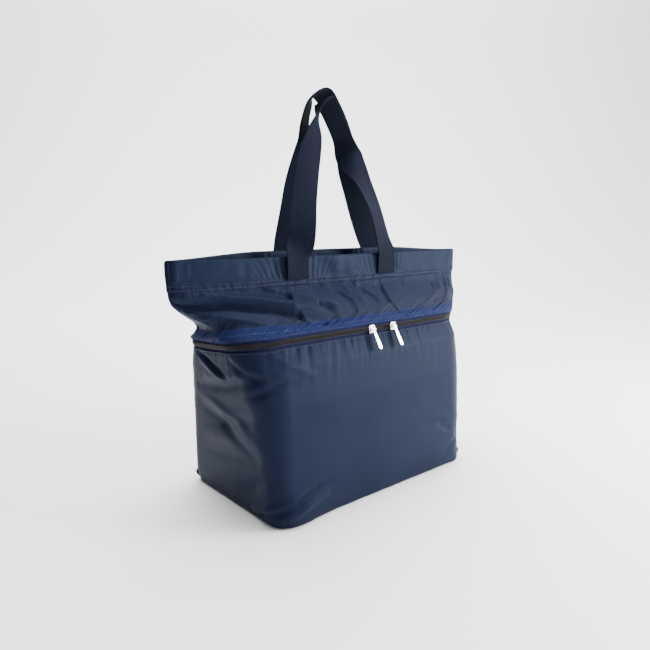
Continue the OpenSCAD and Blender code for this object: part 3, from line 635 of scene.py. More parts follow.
def shell(name, zs, ss, d0, d1, mats, node, body="bag", raised=True, edge=None, extra=None):
    """Closed thin piece of cloth between depths d0 and d1 (functions of S, V, or numbers); outside faces take mats[0], inside faces mats[-1]."""
    P, N, S, V = surf(zs, ss, 0.0, raised)
    if extra is not None:
        P = P + extra(P, N, S, np.broadcast_to(np.asarray(zs, float)[:, None], S.shape))
    D0 = d0(S, V) if callable(d0) else d0
    D1 = d1(S, V) if callable(d1) else d1
    O = P - N * (np.zeros_like(S) + D0)[..., None]
    I = P - N * (np.zeros_like(S) + D1)[..., None]
    return slab_mesh(name, O, I, S, V, mats, node, body)

def slab_mesh(name, O, I, S, V, mats, node, body, wrap=False):
    n, m = S.shape
    verts = np.concatenate([O.reshape(-1, 3), I.reshape(-1, 3)]) * MM
    a = np.arange(n * m).reshape(n, m)
    b = a + n * m
    nx = (lambda q: np.roll(q, -1, 1)) if wrap else (lambda q: q[:, 1:])
    cr = (lambda q: q) if wrap else (lambda q: q[:, :-1])
    q = lambda p: (cr(p[:-1]), nx(p[:-1]), nx(p[1:]), cr(p[1:]))
    fo = np.stack(q(a), -1).reshape(-1, 4)
    fi = np.stack(q(b)[::-1], -1).reshape(-1, 4)
    rim = []
    if wrap:
        e0, e1 = a[0], np.roll(a[0], -1)
        rim.append(np.stack([e1, e0, e0 + n * m, e1 + n * m], -1))
        e0, e1 = a[-1], np.roll(a[-1], -1)
        rim.append(np.stack([e0, e1, e1 + n * m, e0 + n * m], -1))
    else:
        for e, fl in ((a[0], 0), (a[:, -1], 0), (a[-1][::-1], 0), (a[::-1, 0], 0)):
            e0, e1 = e[:-1], e[1:]
            rim.append(np.stack([e1, e0, e0 + n * m, e1 + n * m], -1))
    rim = np.concatenate(rim)
    faces = np.concatenate([fo, fi, rim])
    ob = mesh_object(name, verts, faces)
    me = ob.data
    for mt in mats:
        me.materials.append(mt)
    mi = np.zeros(len(faces), np.int32)
    mi[len(fo):len(fo) + len(fi)] = len(mats) - 1
    me.polygons.foreach_set("material_index", mi)
    uvl = me.uv_layers.new(name="UVMap")
    UV = np.stack([np.tile(S.reshape(-1), 2), np.tile(V.reshape(-1), 2)], -1) * MM
    li = np.zeros(len(me.loops), np.int32)
    me.loops.foreach_get("vertex_index", li)
    uv = UV[li]
    if wrap:                              # keep the texture continuous across the closing column
        col = (li % (n * m)) % m
        last = np.repeat(np.arange(len(faces)), 4)
        c4 = col.reshape(-1, 4)
        jump = (c4.max(1) - c4.min(1) > m // 2)
        fix = np.repeat(jump, 4) & (col == 0)
        uv[fix, 0] += (S[0, -1] - S[0, 0] + (S[0, 1] - S[0, 0])) * MM
    uvl.data.foreach_set("uv", uv.astype(np.float32).reshape(-1))
    me.set_sharp_from_angle(angle=math.radians(55))
    if body:
        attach(ob, body)
    if node:
        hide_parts(*([node] if isinstance(node, str) else node))
    return ob

def steps(a, b, gap):
    return np.linspace(a, b, max(2, int(round(abs(b - a) / gap)) + 1))

# ---------------------------------------------------------------- cloth pieces
T = 1.2
z_low = np.concatenate([steps(0, 16, 1.6)[:-1], steps(16, 180, 2.6)[:-1], steps(180, 206, 1.6)[:-1], steps(206, 224, 0.7)])
z_up = steps(236.8, 296, 0.85)
z_back = np.concatenate([steps(0, 16, 1.6)[:-1], steps(16, 240, 3.0)[:-1], steps(240, 296, 1.0)])
s_f = steps(0.5, 547.5, 1.3)
s_b = steps(548.5, 1095.5, 1.5)

def turned_edge(P, N, S, Z):
    """The lower panel's top edge rolls in towards the zipper tape."""
    t = sstep(Z, 222.6, 224)
    return -N * (1.1 * t * t)[..., None]

front_lower = shell("front_panel_lower_cloth", z_low, s_f, 0, T, [M_NYLON, M_LIN], "front_panel_lower", extra=turned_edge)
front_upper = shell("front_panel_upper_cloth", z_up, s_f, 0, T, [M_NYLON, M_LIN], "front_panel_upper")
back = shell("back_panel_cloth", z_back, s_b, 0, T, [M_NYLON, M_LIN], "back_panel")

def hem(front):
    ss = s_f if front else s_b
    # up the outside from the lower stitched row, over the rim and down inside: one folded band, shown as band and facing
    zo = np.concatenate([steps(291.8, 306, 0.6)[:-1], steps(306, 329.2, 1.1)])
    P, N, S, V = surf(zo, ss)
    k = zo[:, None]
    lip = np.where(k < 293, 0.35 + 0.75 * np.sqrt(np.clip((k - 291.8) / 1.2, 0, 1)), 1.1)
    top = np.clip((k - 327.6) / 1.6, 0, 1)
    O = P + N * (lip * (1 - top ** 2) - 0.3 * top ** 2)[..., None] + np.array([0, 0, 1.0]) * (0.9 * top)[..., None]
    I = P + N * (np.where(k < 293, 0.25, 0.22) - 0.7 * top ** 2)[..., None]
    nm = "front" if front else "back"
    band = slab_mesh("hem_band_%s_cloth" % nm, O, I, S, V, [M_HEM, M_LIN], "hem_band_" + nm, "bag")
    zi = np.concatenate([steps(294, 306, 1.0)[:-1], steps(306, 329.4, 1.4)])
    P, N, S, V = surf(zi, ss)
    top = np.clip((zi[:, None] - 327.6) / 1.8, 0, 1)
    O = P - N * (T + 0.15 - 1.2 * top ** 2)[..., None] + np.array([0, 0, 1.0]) * (0.7 * top)[..., None]
    I = P - N * (T + 1.05 - 0.5 * top ** 2)[..., None]
    slab_mesh("hem_facing_%s_cloth" % nm, O, I, S, V, [M_HEM], "hem_facing_" + nm, "bag")
    return band

hem_front, hem_back = hem(True), hem(False)

# ribbon, zipper tapes, pocket lining, seam bindings
def ribbon_rise(S, V):
    y = (V - v_of(243)) / (v_of(249.5) - v_of(236.6)) * 2
    return -0.45 - 0.45 * np.clip(1 - y * y, 0, 1)

zr = steps(236.6, 249.5, 0.55)
ribbon = shell("woven_ribbon", zr, steps(1.2, 546.8, 0.9), ribbon_rise, lambda S, V: -0.12, [M_RIB], "ribbon_tape")
uvl = ribbon.data.uv_layers["UVMap"]
uvd = np.zeros(len(uvl.data) * 2, np.float32)
uvl.data.foreach_get("uv", uvd)
uvd[1::2] -= float(v_of(243)) * MM
uvl.data.foreach_set("uv", uvd)

for nm, z0, z1 in (("upper", 231.0, 242.5), ("lower", 216.5, 229.0)):
    shell("zipper_tape_%s_weave" % nm, steps(z0, z1, 0.9), steps(6, 542, 1.8), 1.75, 2.45, [M_TAPE], "zipper_tape_" + nm, raised=False)

def lining_slack(P, N, S, Z):
    return N * (1.3 * smooth_noise(S, Z, 61, 34.0) + 0.7 * smooth_noise(S, Z * 0.5, 62, 15.0))[..., None]

shell("pocket_lining_cloth", steps(7, 240, 3.2), steps(132, 540, 3.2), 5.6, 6.4, [M_LIN], "pocket_lining", raised=False, extra=lining_slack)
for nm, s0 in (("left", 0.0), ("right", 548.0)):
    shell("side_seam_binding_" + nm + "_tape", steps(5, 291, 2.2), s0 + np.linspace(-5.5, 5.5, 13),
          lambda S, V, s0=s0: 2.9 - 0.0 * S, lambda S, V, s0=s0: 3.2 + 1.2 * np.clip(1 - ((S - s0) / 5.5) ** 2, 0, 1) ** 0.5, [M_LIN], "side_seam_binding_" + nm, raised=False)

# ---------------------------------------------------------------- base
def base_mesh():
    """Base cloth as rings of the base outline closing in to the middle, with the texture laid by plan position so the
    weave runs straight.
    """
    m = 4 * 60
    u = np.arange(m) * 4.0 / m
    ks = np.concatenate([[1, 0.997, 0.992, 0.984], np.linspace(0.965, 0.03, 30)])
    bot, topp = [], []
    edge_pts = outline(0.0, u, 3.7)[:, :2]
    for k in ks:
        xy = edge_pts * k
        t = min(1.0, (1 - k) / 0.016)
        r = math.sqrt(max(0, 1 - (1 - t) ** 2))
        w = 0.25 * smooth_noise(xy[:, 0], xy[:, 1], 71, 45.0) * min(1, (1 - k) * 6)
        bot.append(np.concatenate([xy, np.full((m, 1), 0.75 - 0.72 * r)], -1))
        topp.append(np.concatenate([xy, (0.9 + 0.6 * r + abs(w))[:, None]], -1))
    B, U = np.array(bot), np.array(topp)
    n = len(ks)
    vb = np.concatenate([B.reshape(-1, 3), [[0, 0, 0.03]], U.reshape(-1, 3), [[0, 0, 1.5]]]) * MM
    a = np.arange(n * m).reshape(n, m)
    c0, off = n * m, n * m + 1
    faces = []
    for i in range(n - 1):
        for j in range(m):
            k = (j + 1) % m
            faces.append((a[i, j], a[i + 1, j], a[i + 1, k], a[i, k]))
            faces.append((a[i, k] + off, a[i + 1, k] + off, a[i + 1, j] + off, a[i, j] + off))
    for j in range(m):
        k = (j + 1) % m
        faces.append((a[n - 1, j], c0, a[n - 1, k]))
        faces.append((a[n - 1, k] + off, c0 + off, a[n - 1, j] + off))
        faces.append((a[0, k], a[0, k] + off, a[0, j] + off, a[0, j]))
    ob = mesh_object("base_panel_cloth", vb, faces)
    me = ob.data
    me.materials.append(M_NYLON)
    co = vb
    uvl = me.uv_layers.new(name="UVMap")
    li = np.zeros(len(me.loops), np.int32)
    me.loops.foreach_get("vertex_index", li)
    uvl.data.foreach_set("uv", co[li][:, :2].astype(np.float32).reshape(-1))
    me.set_sharp_from_angle(angle=math.radians(60))
    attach(ob, "bag")
    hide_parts("base_panel")
    return ob

base = base_mesh()

def tube_mesh(name, path, rx_, ry_, mat, node, closed=False, ups=None, seg=10, uvscale=1.0, body="bag"):
    """Rounded strip or cord along a path in millimetres; rx_ across, ry_ through."""
    P = np.asarray(path, float)
    n = len(P)
    if closed:
        Tn = np.roll(P, -1, 0) - np.roll(P, 1, 0)
    else:
        Tn = np.gradient(P, axis=0)
    Tn /= np.linalg.norm(Tn, axis=1, keepdims=True)
    U = np.broadcast_to(np.array([0, 0, 1.0]) if ups is None else ups, P.shape)
    A = np.cross(Tn, U)
    A /= np.maximum(1e-9, np.linalg.norm(A, axis=1, keepdims=True))
    B = np.cross(A, Tn)
    t = np.arange(seg) * 2 * math.pi / seg
    ring = P[:, None] + np.cos(t)[None, :, None] * rx_ * A[:, None] + np.sin(t)[None, :, None] * ry_ * B[:, None]
    a = np.arange(n * seg).reshape(n, seg)
    faces = []
    rows = range(n) if closed else range(n - 1)
    for i in rows:
        k = (i + 1) % n
        for j in range(seg):
            l = (j + 1) % seg
            faces.append((a[i, j], a[k, j], a[k, l], a[i, l]))
    if not closed:
        faces.append(tuple(a[0]))
        faces.append(tuple(a[-1][::-1]))
    ob = mesh_object(name, ring.reshape(-1, 3) * MM, faces)
    me = ob.data
    me.materials.append(mat)
    L = np.concatenate([[0], np.cumsum(np.linalg.norm(np.diff(P, axis=0), axis=1))])
    uvl = me.uv_layers.new(name="UVMap")
    li = np.zeros(len(me.loops), np.int32)
    me.loops.foreach_get("vertex_index", li)
    uv = np.stack([L[li // seg] * MM, (li % seg) * 2 * (rx_ + ry_) / seg * MM], -1)
    uvl.data.foreach_set("uv", uv.astype(np.float32).reshape(-1))
    if body:
        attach(ob, body)
    if node:
        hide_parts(node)
    return ob

um = np.linspace(0, 4, 300, endpoint=False)
bs = outline(0.0, um, 5.6)
bs[:, 2] = 2.9
tube_mesh("base_seam_binding_tape", bs, 3.6, 0.9, M_LIN, "base_seam_binding", closed=True, seg=12)

# ---------------------------------------------------------------- stitches
def capsules(name, centres, dirs, ups, length, wid, high, mat, body="bag", seg=6):
    """Many small rounded stitches in one mesh: centres, directions and outward normals in millimetres."""
    prof = [(-0.5, 0.0), (-0.47, 0.55), (-0.36, 0.92), (0.0, 1.0), (0.36, 0.92), (0.47, 0.55), (0.5, 0.0)]
    t = np.arange(seg) * 2 * math.pi / seg
    tv, tf = [(-0.5, 0, 0)], []
    for x, r in prof[1:-1]:
        for a in t:
            tv.append((x, r * math.cos(a) / 2, r * math.sin(a) / 2))
    tv.append((0.5, 0, 0))
    k = len(prof) - 2
    for j in range(seg):
        l = (j + 1) % seg
        tf.append((0, 1 + l, 1 + j))
        for i in range(k - 1):
            tf.append((1 + i * seg + j, 1 + i * seg + l, 1 + (i + 1) * seg + l, 1 + (i + 1) * seg + j))
        tf.append((1 + (k - 1) * seg + j, 1 + (k - 1) * seg + l, len(tv) - 1))
    tv = np.array(tv)
    C, D, U = (np.asarray(q, float) for q in (centres, dirs, ups))
    D = D / np.linalg.norm(D, axis=1, keepdims=True)
    W = np.cross(U, D)
    W /= np.linalg.norm(W, axis=1, keepdims=True)
    U = np.cross(D, W)
    Ln = np.broadcast_to(length, len(C))
    V = C[:, None] + tv[None, :, 0:1] * Ln[:, None, None] * D[:, None] + tv[None, :, 1:2] * wid * W[:, None] + tv[None, :, 2:3] * high * U[:, None]
    nv = len(tv)
    faces = [tuple(i * nv + q for q in f) for i in range(len(C)) for f in tf]
    ob = mesh_object(name, V.reshape(-1, 3) * MM, faces)
    ob.data.materials.append(mat)
    if body:
        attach(ob, body)
    return ob

def points_at(z, s, out):
    """Points on the finished cloth at many (z, s) pairs, raised by out, with normals."""
    z, s = np.atleast_1d(np.asarray(z, float)), np.atleast_1d(np.asarray(s, float))
    z, s = np.broadcast_arrays(z, s)
    R, C = row_of(z), col_of(s)
    def pick(A):
        def w(f):
            return np.stack([-0.5 * f + f ** 2 - 0.5 * f ** 3, 1 - 2.5 * f ** 2 + 1.5 * f ** 3, 0.5 * f + 2 * f ** 2 - 1.5 * f ** 3, -0.5 * f ** 2 + 0.5 * f ** 3])
        r0, c0 = np.clip(np.floor(R).astype(int), 0, NR - 1), np.floor(C).astype(int)
        wr, wc = w(R - r0), w(C - c0)
        o = 0
        for i in range(4):
            for j in range(4):
                o = o + (wr[i] * wc[j])[:, None] * A[np.clip(r0 + i - 1, 0, NR - 1), (c0 + j - 1) % NC]
        return o
    P, N = pick(SIM), pick(SIM_N)
    N /= np.linalg.norm(N, axis=1, keepdims=True)
    D = relief(np.mod(s, 1096.0)[None], z[None].copy(), P[None])[0]
    return P + N * (D + out)[:, None], N

def stitch_row(name, zs, ss, out, pitch=3.1, length=2.3, wid=0.55, slot=None, mat=None):
    """A row of stitches along a line given by heights zs and round-distances ss."""
    P, N = points_at(zs, ss, out)
    L = np.concatenate([[0], np.cumsum(np.linalg.norm(np.diff(P, axis=0), axis=1))])
    n = int(L[-1] / pitch)
    t = (np.arange(n) + 0.5) * L[-1] / n
    h = length / 2
    at = lambda q: np.stack([np.interp(q, L, P[:, k]) for k in range(3)], -1)
    A, B = at(np.clip(t - h, 0, L[-1])), at(np.clip(t + h, 0, L[-1]))
    Nn = np.stack([np.interp(t, L, N[:, k]) for k in range(3)], -1)
    return (A + B) / 2, B - A, Nn, np.full(n, length)

def stitches(name, lines, wid=0.55, high=0.5, mat=None, body="bag"):
    parts = [stitch_row(name, *ln[:3], **(ln[3] if len(ln) > 3 else {})) for ln in lines]
    C, D, U, Ln = (np.concatenate([p[k] for p in parts]) for k in range(4))
    return capsules(name, C, D, U, Ln, wid, high, mat or M_THREAD, body)

def s_at_x(z, x, side):
    """Round-distance of the point at x on the front (side 1) or back (side -1) surface at height z."""
    out = []
    lo, hi = (60, 500) if side > 0 else (610, 1040)
    ss = np.linspace(lo, hi, 441)
    for a, b in zip(np.atleast_1d(z), np.atleast_1d(x)):
        P = catmull(BASE, row_of(np.array([a])), col_of(ss))[0]
        xs = P[:, 0]
        out.append(np.interp(b, xs, ss) if side > 0 else np.interp(b, xs[::-1], ss[::-1]))
    return np.array(out)

ring_s = steps(1, 1095, 1.0)
wob = lambda s, k: 0.25 * smooth_noise(s, s * 0, k, 40.0)
stitches("hem_stitching", [(299.0 + wob(ring_s, 81), ring_s, 1.30, {}), (293.9 + wob(ring_s, 82), ring_s, 1.26, {})])
fs = steps(3, 545, 1.0)
stitches("pocket_edge_stitching", [(220.9 + wob(fs, 83) * 0.5, fs, 0.12, dict(pitch=2.9, length=2.1))])
stitches("ribbon_edge_stitching", [(237.8 + 0 * fs, fs, 0.72, dict(pitch=2.6, length=1.8)), (248.3 + 0 * fs, fs, 0.72, dict(pitch=2.6, length=1.8))], wid=0.42, high=0.4)
for (xc, side), nm in zip(STRAPS, ("front_left", "front_right", "back_left", "back_right")):
    zt, zb, w = 289.0, 250.5, 15.5
    lines = []
    for za, xa, zc, xb in ((zt, -w, zt, w), (zt - 2.6, -w, zt - 2.6, w), (zb, -w, zb, w), (zb, -w, zt, -w), (zb, w, zt, w)):
        k = np.linspace(0, 1, 40)
        z = za + (zc - za) * k
        lines.append((z, s_at_x(z, xc + xa + (xb - xa) * k, side), 0.1, dict(pitch=2.9, length=2.2)))
    stitches("strap_stitching_" + nm, lines)

# ---------------------------------------------------------------- webbing
HZ = 299.5
FRONT_ROUTE = [
    [-86, -23.4, 0, -178, 0], [-86, -23.4, 31, -178, 0], [-81, -23, 48, -212, 0],
    [-77, -22, 70, -202, 0], [-73, -20, 99, -192, 0], [-67, -18, 128, -187, 0],
    [-60, -15, 154, -181, 0], [-52, -12, 176, -173, 0], [-44, -10, 194, -160, 2],
    [-38, -8, 209, -142, 3], [-35, -6, 221, -122, 5], [-32, -5.5, 233, -107, 7],
    [-28, -5, 240, -97, 9], [-25, -4.5, 243, -90, 10], [-22, -4.5, 241, -90, 10],
    [-15, -4.5, 230, -90, 8], [-7, -5, 218, -89, 5], [1, -5.5, 205, -88, 3],
    [12, -6.5, 186, -80, 0], [14, -8, 174, -62, 0], [20, -9, 165, -32, 0],
    [29, -11, 156, -8, 0], [37, -13, 145, 4, 0], [43, -14, 135, 11, 0],
    [56, -17, 111, 17, 0], [67, -19, 87, 19, 0], [75, -21.5, 58, 16, 0],
    [80, -23, 41, 11, 0], [84, -23.4, 31, 5, 0], [84, -23.4, 0, 2, 0]]
BACK_ROUTE = [
    [-75, 23.4, 0, -180, 0], [-75, 23.4, 31, -180, 0], [-72, 23, 45, -188, 0],
    [-67, 22.5, 65, -191, 0], [-61, 21.5, 93, -192, 0], [-55, 20, 123, -191, 0],
    [-48, 19, 146, -189, 0], [-41, 17.5, 170, -183, 0], [-40, 16.5, 185, -171, 0],
    [-43, 15, 196, -158, 0], [-46, 13.5, 206, -147, 0], [-45, 12, 216, -141, 0],
    [-43, 11, 226, -140, 0], [-41, 9.5, 234, -139, 1], [-39, 7, 242, -133, 3],
    [-37, 4.5, 248, -117, 6], [-33, 3, 252, -98, 9], [-27, 2, 254, -90, 10],
    [-21, 2, 252, -90, 10], [-9, 3, 239, -90, 8], [5, 5.5, 224, -90, 5],
    [18, 9, 209, -90, 2], [31, 13, 190, -86, 0], [40, 16, 176, -66, 0],
    [47, 18, 151, -44, 0], [57, 19.5, 129, -34, 0], [71, 21, 92, -22, 0],
    [84, 22.5, 60, -9, 0], [97, 23.4, 31, 0, 0], [97, 23.4, 0, 0, 0]]

def spline(R, per):
    R = np.asarray(R, float)
    n = len(R) - 1
    t = np.arange(n * per + 1) / per
    i = np.minimum(np.floor(t).astype(int), n - 1)
    f = (t - i)[:, None]
    a, b, c, e = R[np.maximum(0, i - 1)], R[i], R[i + 1], R[np.minimum(n, i + 2)]
    return 0.5 * (2 * b + (c - a) * f + (2 * a - 5 * b + 4 * c - e) * f ** 2 + (3 * b - a - 3 * c + e) * f ** 3)

def section(w, t, k=9):
    """Cross-section of a woven tape: flat faces with full, rounded selvedges. Points (across, through)."""
    hw, ht = w / 2, t / 2
    pts = []
    xs = np.linspace(-1, 1, 2 * k + 1)
    flat = hw - ht * 1.15
    for x in xs:
        pts.append((x * flat, ht * (0.90 + 0.04 * math.cos(x * math.pi * 5))))
    for a in np.linspace(70, -70, 6):
        pts.append((flat + ht * 1.15 * math.cos(math.radians(a)), ht * 1.06 * math.sin(math.radians(a))))
    for x in xs[::-1]:
        pts.append((x * flat, -ht * (0.90 + 0.04 * math.cos(x * math.pi * 5))))
    for a in np.linspace(-70, -290 + 180, 1):
        pass
    for a in np.linspace(-110, -250, 6):
        pts.append((-flat + ht * 1.15 * math.cos(math.radians(a)), ht * 1.06 * math.sin(math.radians(a))))
    return np.array(pts)

def webbing(name, route, node, seed):
    P = spline(route, 40)
    C = np.stack([P[:, 0], P[:, 1], P[:, 2] + HZ], -1)
    L = np.concatenate([[0], np.cumsum(np.linalg.norm(np.diff(C, axis=0), axis=1))])
    n = int(L[-1] / 0.85)
    t = np.linspace(0, L[-1], n + 1)
    at = lambda A: np.stack([np.interp(t, L, A[:, k]) for k in range(A.shape[1])], -1)
    C, P = at(C), at(P)
    k = np.exp(-0.5 * (np.arange(-28, 29) * 0.85 / 7.0) ** 2)
    k /= k.sum()
    keep = (sstep(t, 24, 40) * (1 - sstep(t, L[-1] - 40, L[-1] - 24)))[:, None]
    even = lambda A: A + keep * (np.stack([np.convolve(np.pad(A[:, j], 28, mode="edge"), k, mode="valid") for j in range(A.shape[1])], -1) - A)
    C, P = even(C), even(P)
    Tn = np.gradient(C, axis=0)
    Tn[0], Tn[-1] = [0, 0, 1], [0, 0, -1]
    Tn /= np.linalg.norm(Tn, axis=1, keepdims=True)
    ph, ti = np.radians(P[:, 3]), np.radians(P[:, 4])
    W = np.stack([np.cos(ph) * np.cos(ti), np.sin(ph) * np.cos(ti), np.sin(ti)], -1)
    W -= (W * Tn).sum(1, keepdims=True) * Tn
    W /= np.linalg.norm(W, axis=1, keepdims=True)
    N = np.cross(Tn, W)
    sec = section(38.0, 2.1)
    m = len(sec)
    # a little life in the tape: a soft cupping and a slow wave, nothing at the sewn ends
    free = sstep(t, 34, 80) * (1 - sstep(t, L[-1] - 80, L[-1] - 34))
    cup = 0.9 * free * smooth_noise(t, t * 0, seed, 75.0)
    wave = 0.7 * free * smooth_noise(t, t * 0, seed + 1, 48.0)
    x = sec[:, 0][None, :]
    q = sec[:, 1][None, :] + wave[:, None] + cup[:, None] * ((x / 19) ** 2 * 2 - 1)
    # picks of the weave show as fine steps along both selvedges
    edge = np.clip((abs(x) - 17.6) / 1.2, 0, 1)
    x = x + np.sign(x) * edge * 0.36 * np.sin(t * 2 * math.pi / 3.4)[:, None]
    verts = C[:, None] + W[:, None] * x[..., None] + N[:, None] * q[..., None]
    a = np.arange((n + 1) * m).reshape(n + 1, m)
    faces = []
    for j in range(m):
        k = (j + 1) % m
        faces += [(a[i, j], a[i, k], a[i + 1, k], a[i + 1, j]) for i in range(n)]
    faces.append(tuple(a[0][::-1]))
    faces.append(tuple(a[-1]))
    ob = mesh_object(name, verts.reshape(-1, 3) * MM, faces)
    me = ob.data
    me.materials.append(M_WEB)
    uvl = me.uv_layers.new(name="UVMap")
    li = np.zeros(len(me.loops), np.int32)
    me.loops.foreach_get("vertex_index", li)
    uv = np.stack([sec[li % m, 0] * MM, t[li // m] * MM], -1)
    uvl.data.foreach_set("uv", uv.astype(np.float32).reshape(-1))
    me.set_sharp_from_angle(angle=math.radians(60))
    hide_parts(node)
    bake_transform(ob)
    return ob

handle_front = webbing("handle_front_webbing", FRONT_ROUTE, "handle_front", 91)
handle_back = webbing("handle_back_webbing", BACK_ROUTE, "handle_back", 94)

def strap_end(nm, xc, side):
    """Sewn end of a handle leg on the inside of the cloth, below the hem."""
    zs = steps(247, 293, 1.6)
    xs = np.linspace(-19, 19, 21)
    O, I = np.zeros((len(zs), 21, 3)), np.zeros((len(zs), 21, 3))
    for i, z in enumerate(zs):
        s = s_at_x(np.full(21, z), xc + xs * side, side)
        P, N = points_at(np.full(21, z), s, 0.0)
        r = np.sqrt(np.clip(1 - np.clip((abs(xs) - 17.9) / 1.1, 0, 1) ** 2, 0, 1))[:, None]
        O[i], I[i] = P - N * (T + 1.3 - 1.0 * r), P - N * (T + 1.3 + 1.0 * r)
    S = np.broadcast_to(xs[None, :], O.shape[:2]).copy()
    V = np.broadcast_to(zs[:, None], O.shape[:2]).copy()
    slab_mesh("strap_end_%s_webbing" % nm, O, I, S, V, [M_WEB], "strap_end_" + nm, "bag")

for (xc, side), nm in zip(STRAPS, ("front_left", "front_right", "back_left", "back_right")):
    strap_end(nm, xc, side)

# ---------------------------------------------------------------- zipper chain
def teeth(name, node, up):
    """Coil half as rows of small rounded loops across the chain; both halves mesh in the middle except between the sliders."""
    P, N = points_at(np.full(1085, 230.0), np.linspace(5, 543, 1085), 0.0)
    L = np.concatenate([[0], np.cumsum(np.linalg.norm(np.diff(P, axis=0), axis=1))])
    pitch = 1.3
    n = int(L[-1] / pitch)
    t = (np.arange(n) + (0.5 if up > 0 else 0.0)) * pitch + 0.3
    at = lambda A, q: np.stack([np.interp(q, L, A[:, k]) for k in range(3)], -1)
    C, Nn, Tn = at(P, t), at(N, t), at(P, t + 0.6) - at(P, t - 0.6)
    Tn /= np.linalg.norm(Tn, axis=1, keepdims=True)
    B = np.cross(Tn, Nn)
    B *= np.sign(B[:, 2:3])
    gap = np.where((C[:, 0] > 1) & (C[:, 0] < 33) & (C[:, 1] < -60), 1.0, 0.0)
    mid = C + up * B * (1.25 + gap[:, None] * 0.9) - Nn * 0.85
    ob = capsules(name, mid, B, Nn, 3.3, 0.86, 1.15, M_COIL, "bag", seg=6)
    # the sewn foot of the coil, one cord along each half
    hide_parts(node)
    q = np.arange(0, L[-1], 1.6)
    C, Nn, Tn = at(P, q), at(N, q), at(P, q + 0.6) - at(P, q - 0.6)
    B = np.cross(Tn, Nn)
    B /= np.linalg.norm(B, axis=1, keepdims=True)
    B *= np.sign(B[:, 2:3])
    g = np.where((C[:, 0] > 1) & (C[:, 0] < 33) & (C[:, 1] < -60), 0.9, 0.0)[:, None]
    line = C + up * B * (2.75 + g * 0.6) - Nn * 1.0
    tube_mesh(name + "_foot", line, 0.5, 0.45, M_COIL, None, ups=Nn, seg=6)
    return ob

teeth("zipper_coil_upper_loops", "zipper_coil_upper", 1)
teeth("zipper_coil_lower_loops", "zipper_coil_lower", -1)

# ---------------------------------------------------------------- corner darts
def dart(nm, s0, node):
    z = np.linspace(3, 20, 24)
    P, N = points_at(z, np.full(24, s0), -0.6)
    k = np.interp(z, [3, 8, 12, 15, 20], [0.3, 4.2, 6.0, 4.2, 0.3])
    k = k * (1 + 0.06 * np.sin(z * 1.7))
    Tn = np.gradient(P, axis=0)
    Tn /= np.linalg.norm(Tn, axis=1, keepdims=True)
    B = np.cross(Tn, N)
    B /= np.linalg.norm(B, axis=1, keepdims=True)
    w = np.linspace(0, 1, 9)
    thick = 1.25 * np.sqrt(np.clip(1 - (w ** 3), 0.02, 1))[None, :] * np.ones((24, 1)) + 0.15
    mid = P[:, None] + N[:, None] * (k[:, None] * w[None, :])[..., None] + B[:, None] * (1.2 * (w ** 2)[None, :] * np.ones((24, 1)))[..., None]
    O, I = mid + B[:, None] * thick[..., None] * 0.8, mid - B[:, None] * thick[..., None] * 0.8
    S = (k[:, None] * w[None, :])
    V = np.broadcast_to(z[:, None], S.shape).copy()
    slab_mesh("corner_dart_%s_cloth" % nm, O, I, S, V, [M_NYLON], node, "bag")

dart("left", 1095.6, "corner_dart_left")
dart("right", 548.4, "corner_dart_right")

# ---------------------------------------------------------------- metal
for nm in ("slider_left", "slider_right", "pull_left", "pull_right"):
    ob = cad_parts[nm]
    for sl in ob.material_slots:
        sl.material = M_NICKEL
    if not ob.material_slots:
        ob.data.materials.append(M_NICKEL)
    bv = ob.modifiers.new("Bevel", "BEVEL")
    bv.width = 0.00028
    bv.segments = 3
    bv.limit_method = "ANGLE"
    bv.angle_limit = math.radians(40)
    bv.harden_normals = False

# ---------------------------------------------------------------- floor, light
def sweep():
    """Seamless paper: flat on the floor, curving up into a wall well behind the bag, square to the camera."""
    v, r = np.array([0.647, 0.763, 0]), np.array([0.763, -0.647, 0])
    prof = [(-7.0, 0.0), (-3.0, 0.0), (-1.0, 0.0), (0.6, 0.0), (1.4, 0.0)]
    prof += [(1.4 + 1.6 * math.sin(a), 1.6 - 1.6 * math.cos(a)) for a in np.radians(np.arange(5, 86, 5))]
    prof += [(3.0 + 0.02 * k, 1.6 + 0.9 * k) for k in range(0, 5)]
    xs = np.linspace(-7, 7, 15)
    vs = [tuple(v * d + r * x + np.array([0, 0, h - 0.0002])) for d, h in prof for x in xs]
    n = len(xs)
    fs_ = [(i * n + j, i * n + j + 1, (i + 1) * n + j + 1, (i + 1) * n + j) for i in range(len(prof) - 1) for j in range(n - 1)]
    return mesh_object("floor", vs, fs_)

floor = sweep()
fm, fnt, fb = new_mat("studio_paper", (0.95, 0.95, 0.955), 0.9)
fb.inputs["Specular IOR Level"].default_value = 0.05
floor.data.materials.append(fm)

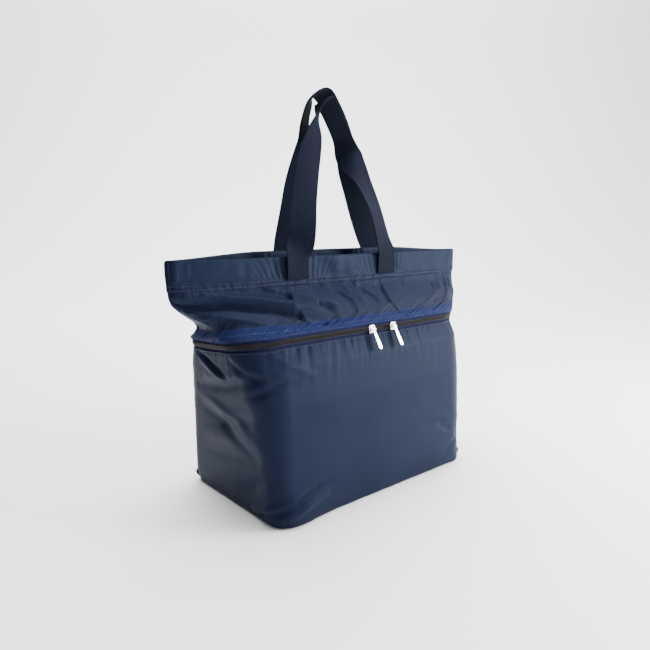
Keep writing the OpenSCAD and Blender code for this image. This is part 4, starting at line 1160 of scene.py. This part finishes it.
world = bpy.data.worlds.new("studio")
bpy.context.scene.world = world
world.use_nodes = True
world.node_tree.nodes["Background"].inputs[0].default_value = (1, 1, 1, 1)
world.node_tree.nodes["Background"].inputs[1].default_value = 0.7

def area(name, loc, target, size, power, colour=(1, 1, 1)):
    d = bpy.data.lights.new(name, "AREA")
    d.shape = "RECTANGLE"
    d.size, d.size_y = size
    d.energy = power
    d.color = colour
    o = bpy.data.objects.new(name, d)
    bpy.context.scene.collection.objects.link(o)
    o.location = loc
    o.rotation_euler = (Vector(target) - Vector(loc)).to_track_quat("-Z", "Y").to_euler()
    return o

area("key", (1.0, -0.95, 0.62), (0.05, -0.05, 0.2), (0.6, 0.8), 44)
area("top", (0.6, 1.0, 3.0), (0, 0.3, 0), (4.0, 4.0), 420)

# a dark studio flag out of the picture on the left keeps the glare off the left face
flag = mesh_object("flag", [(-0.95, -0.45, 0.0), (-0.45, 1.7, 0.0), (-0.45, 1.7, 1.7), (-0.95, -0.45, 1.7)], [(0, 1, 2, 3)], smooth=False)
flag_m, _, flag_b = new_mat("black_cloth", (0.04, 0.04, 0.045), 1.0)
flag_b.inputs["Specular IOR Level"].default_value = 0.0
flag.data.materials.append(flag_m)
flag.visible_camera = False

# ---------------------------------------------------------------- the cloth pieces, as cut
def cut(z0, z1, ss, width=0.548):
    """Height of a piece cut to that width, from the design's smooth outline between two heights, before any cloth was simulated or folded. Metres."""
    P = catmull(BASE, row_of(steps(z0, z1, 1.5)), col_of(ss))
    cross = np.cross(P[1:, 1:] - P[:-1, :-1], P[1:, :-1] - P[:-1, 1:])
    return 0.5 * float(np.linalg.norm(cross, axis=-1).sum()) * MM * MM / width

BASE_PTS = outline(0.0, np.arange(240) / 60.0, 3.7)[:, :2] * MM
cut(0, 224, s_f)
cut(0, 296, s_b)
cut(236.8, 296, s_f)
cut(291.8, 330, s_f)
cut(291.8, 330, s_b)
cut(294, 330, s_f)
cut(294, 330, s_b)
cut(7, 240, steps(132, 540, 3.2), 0.408)
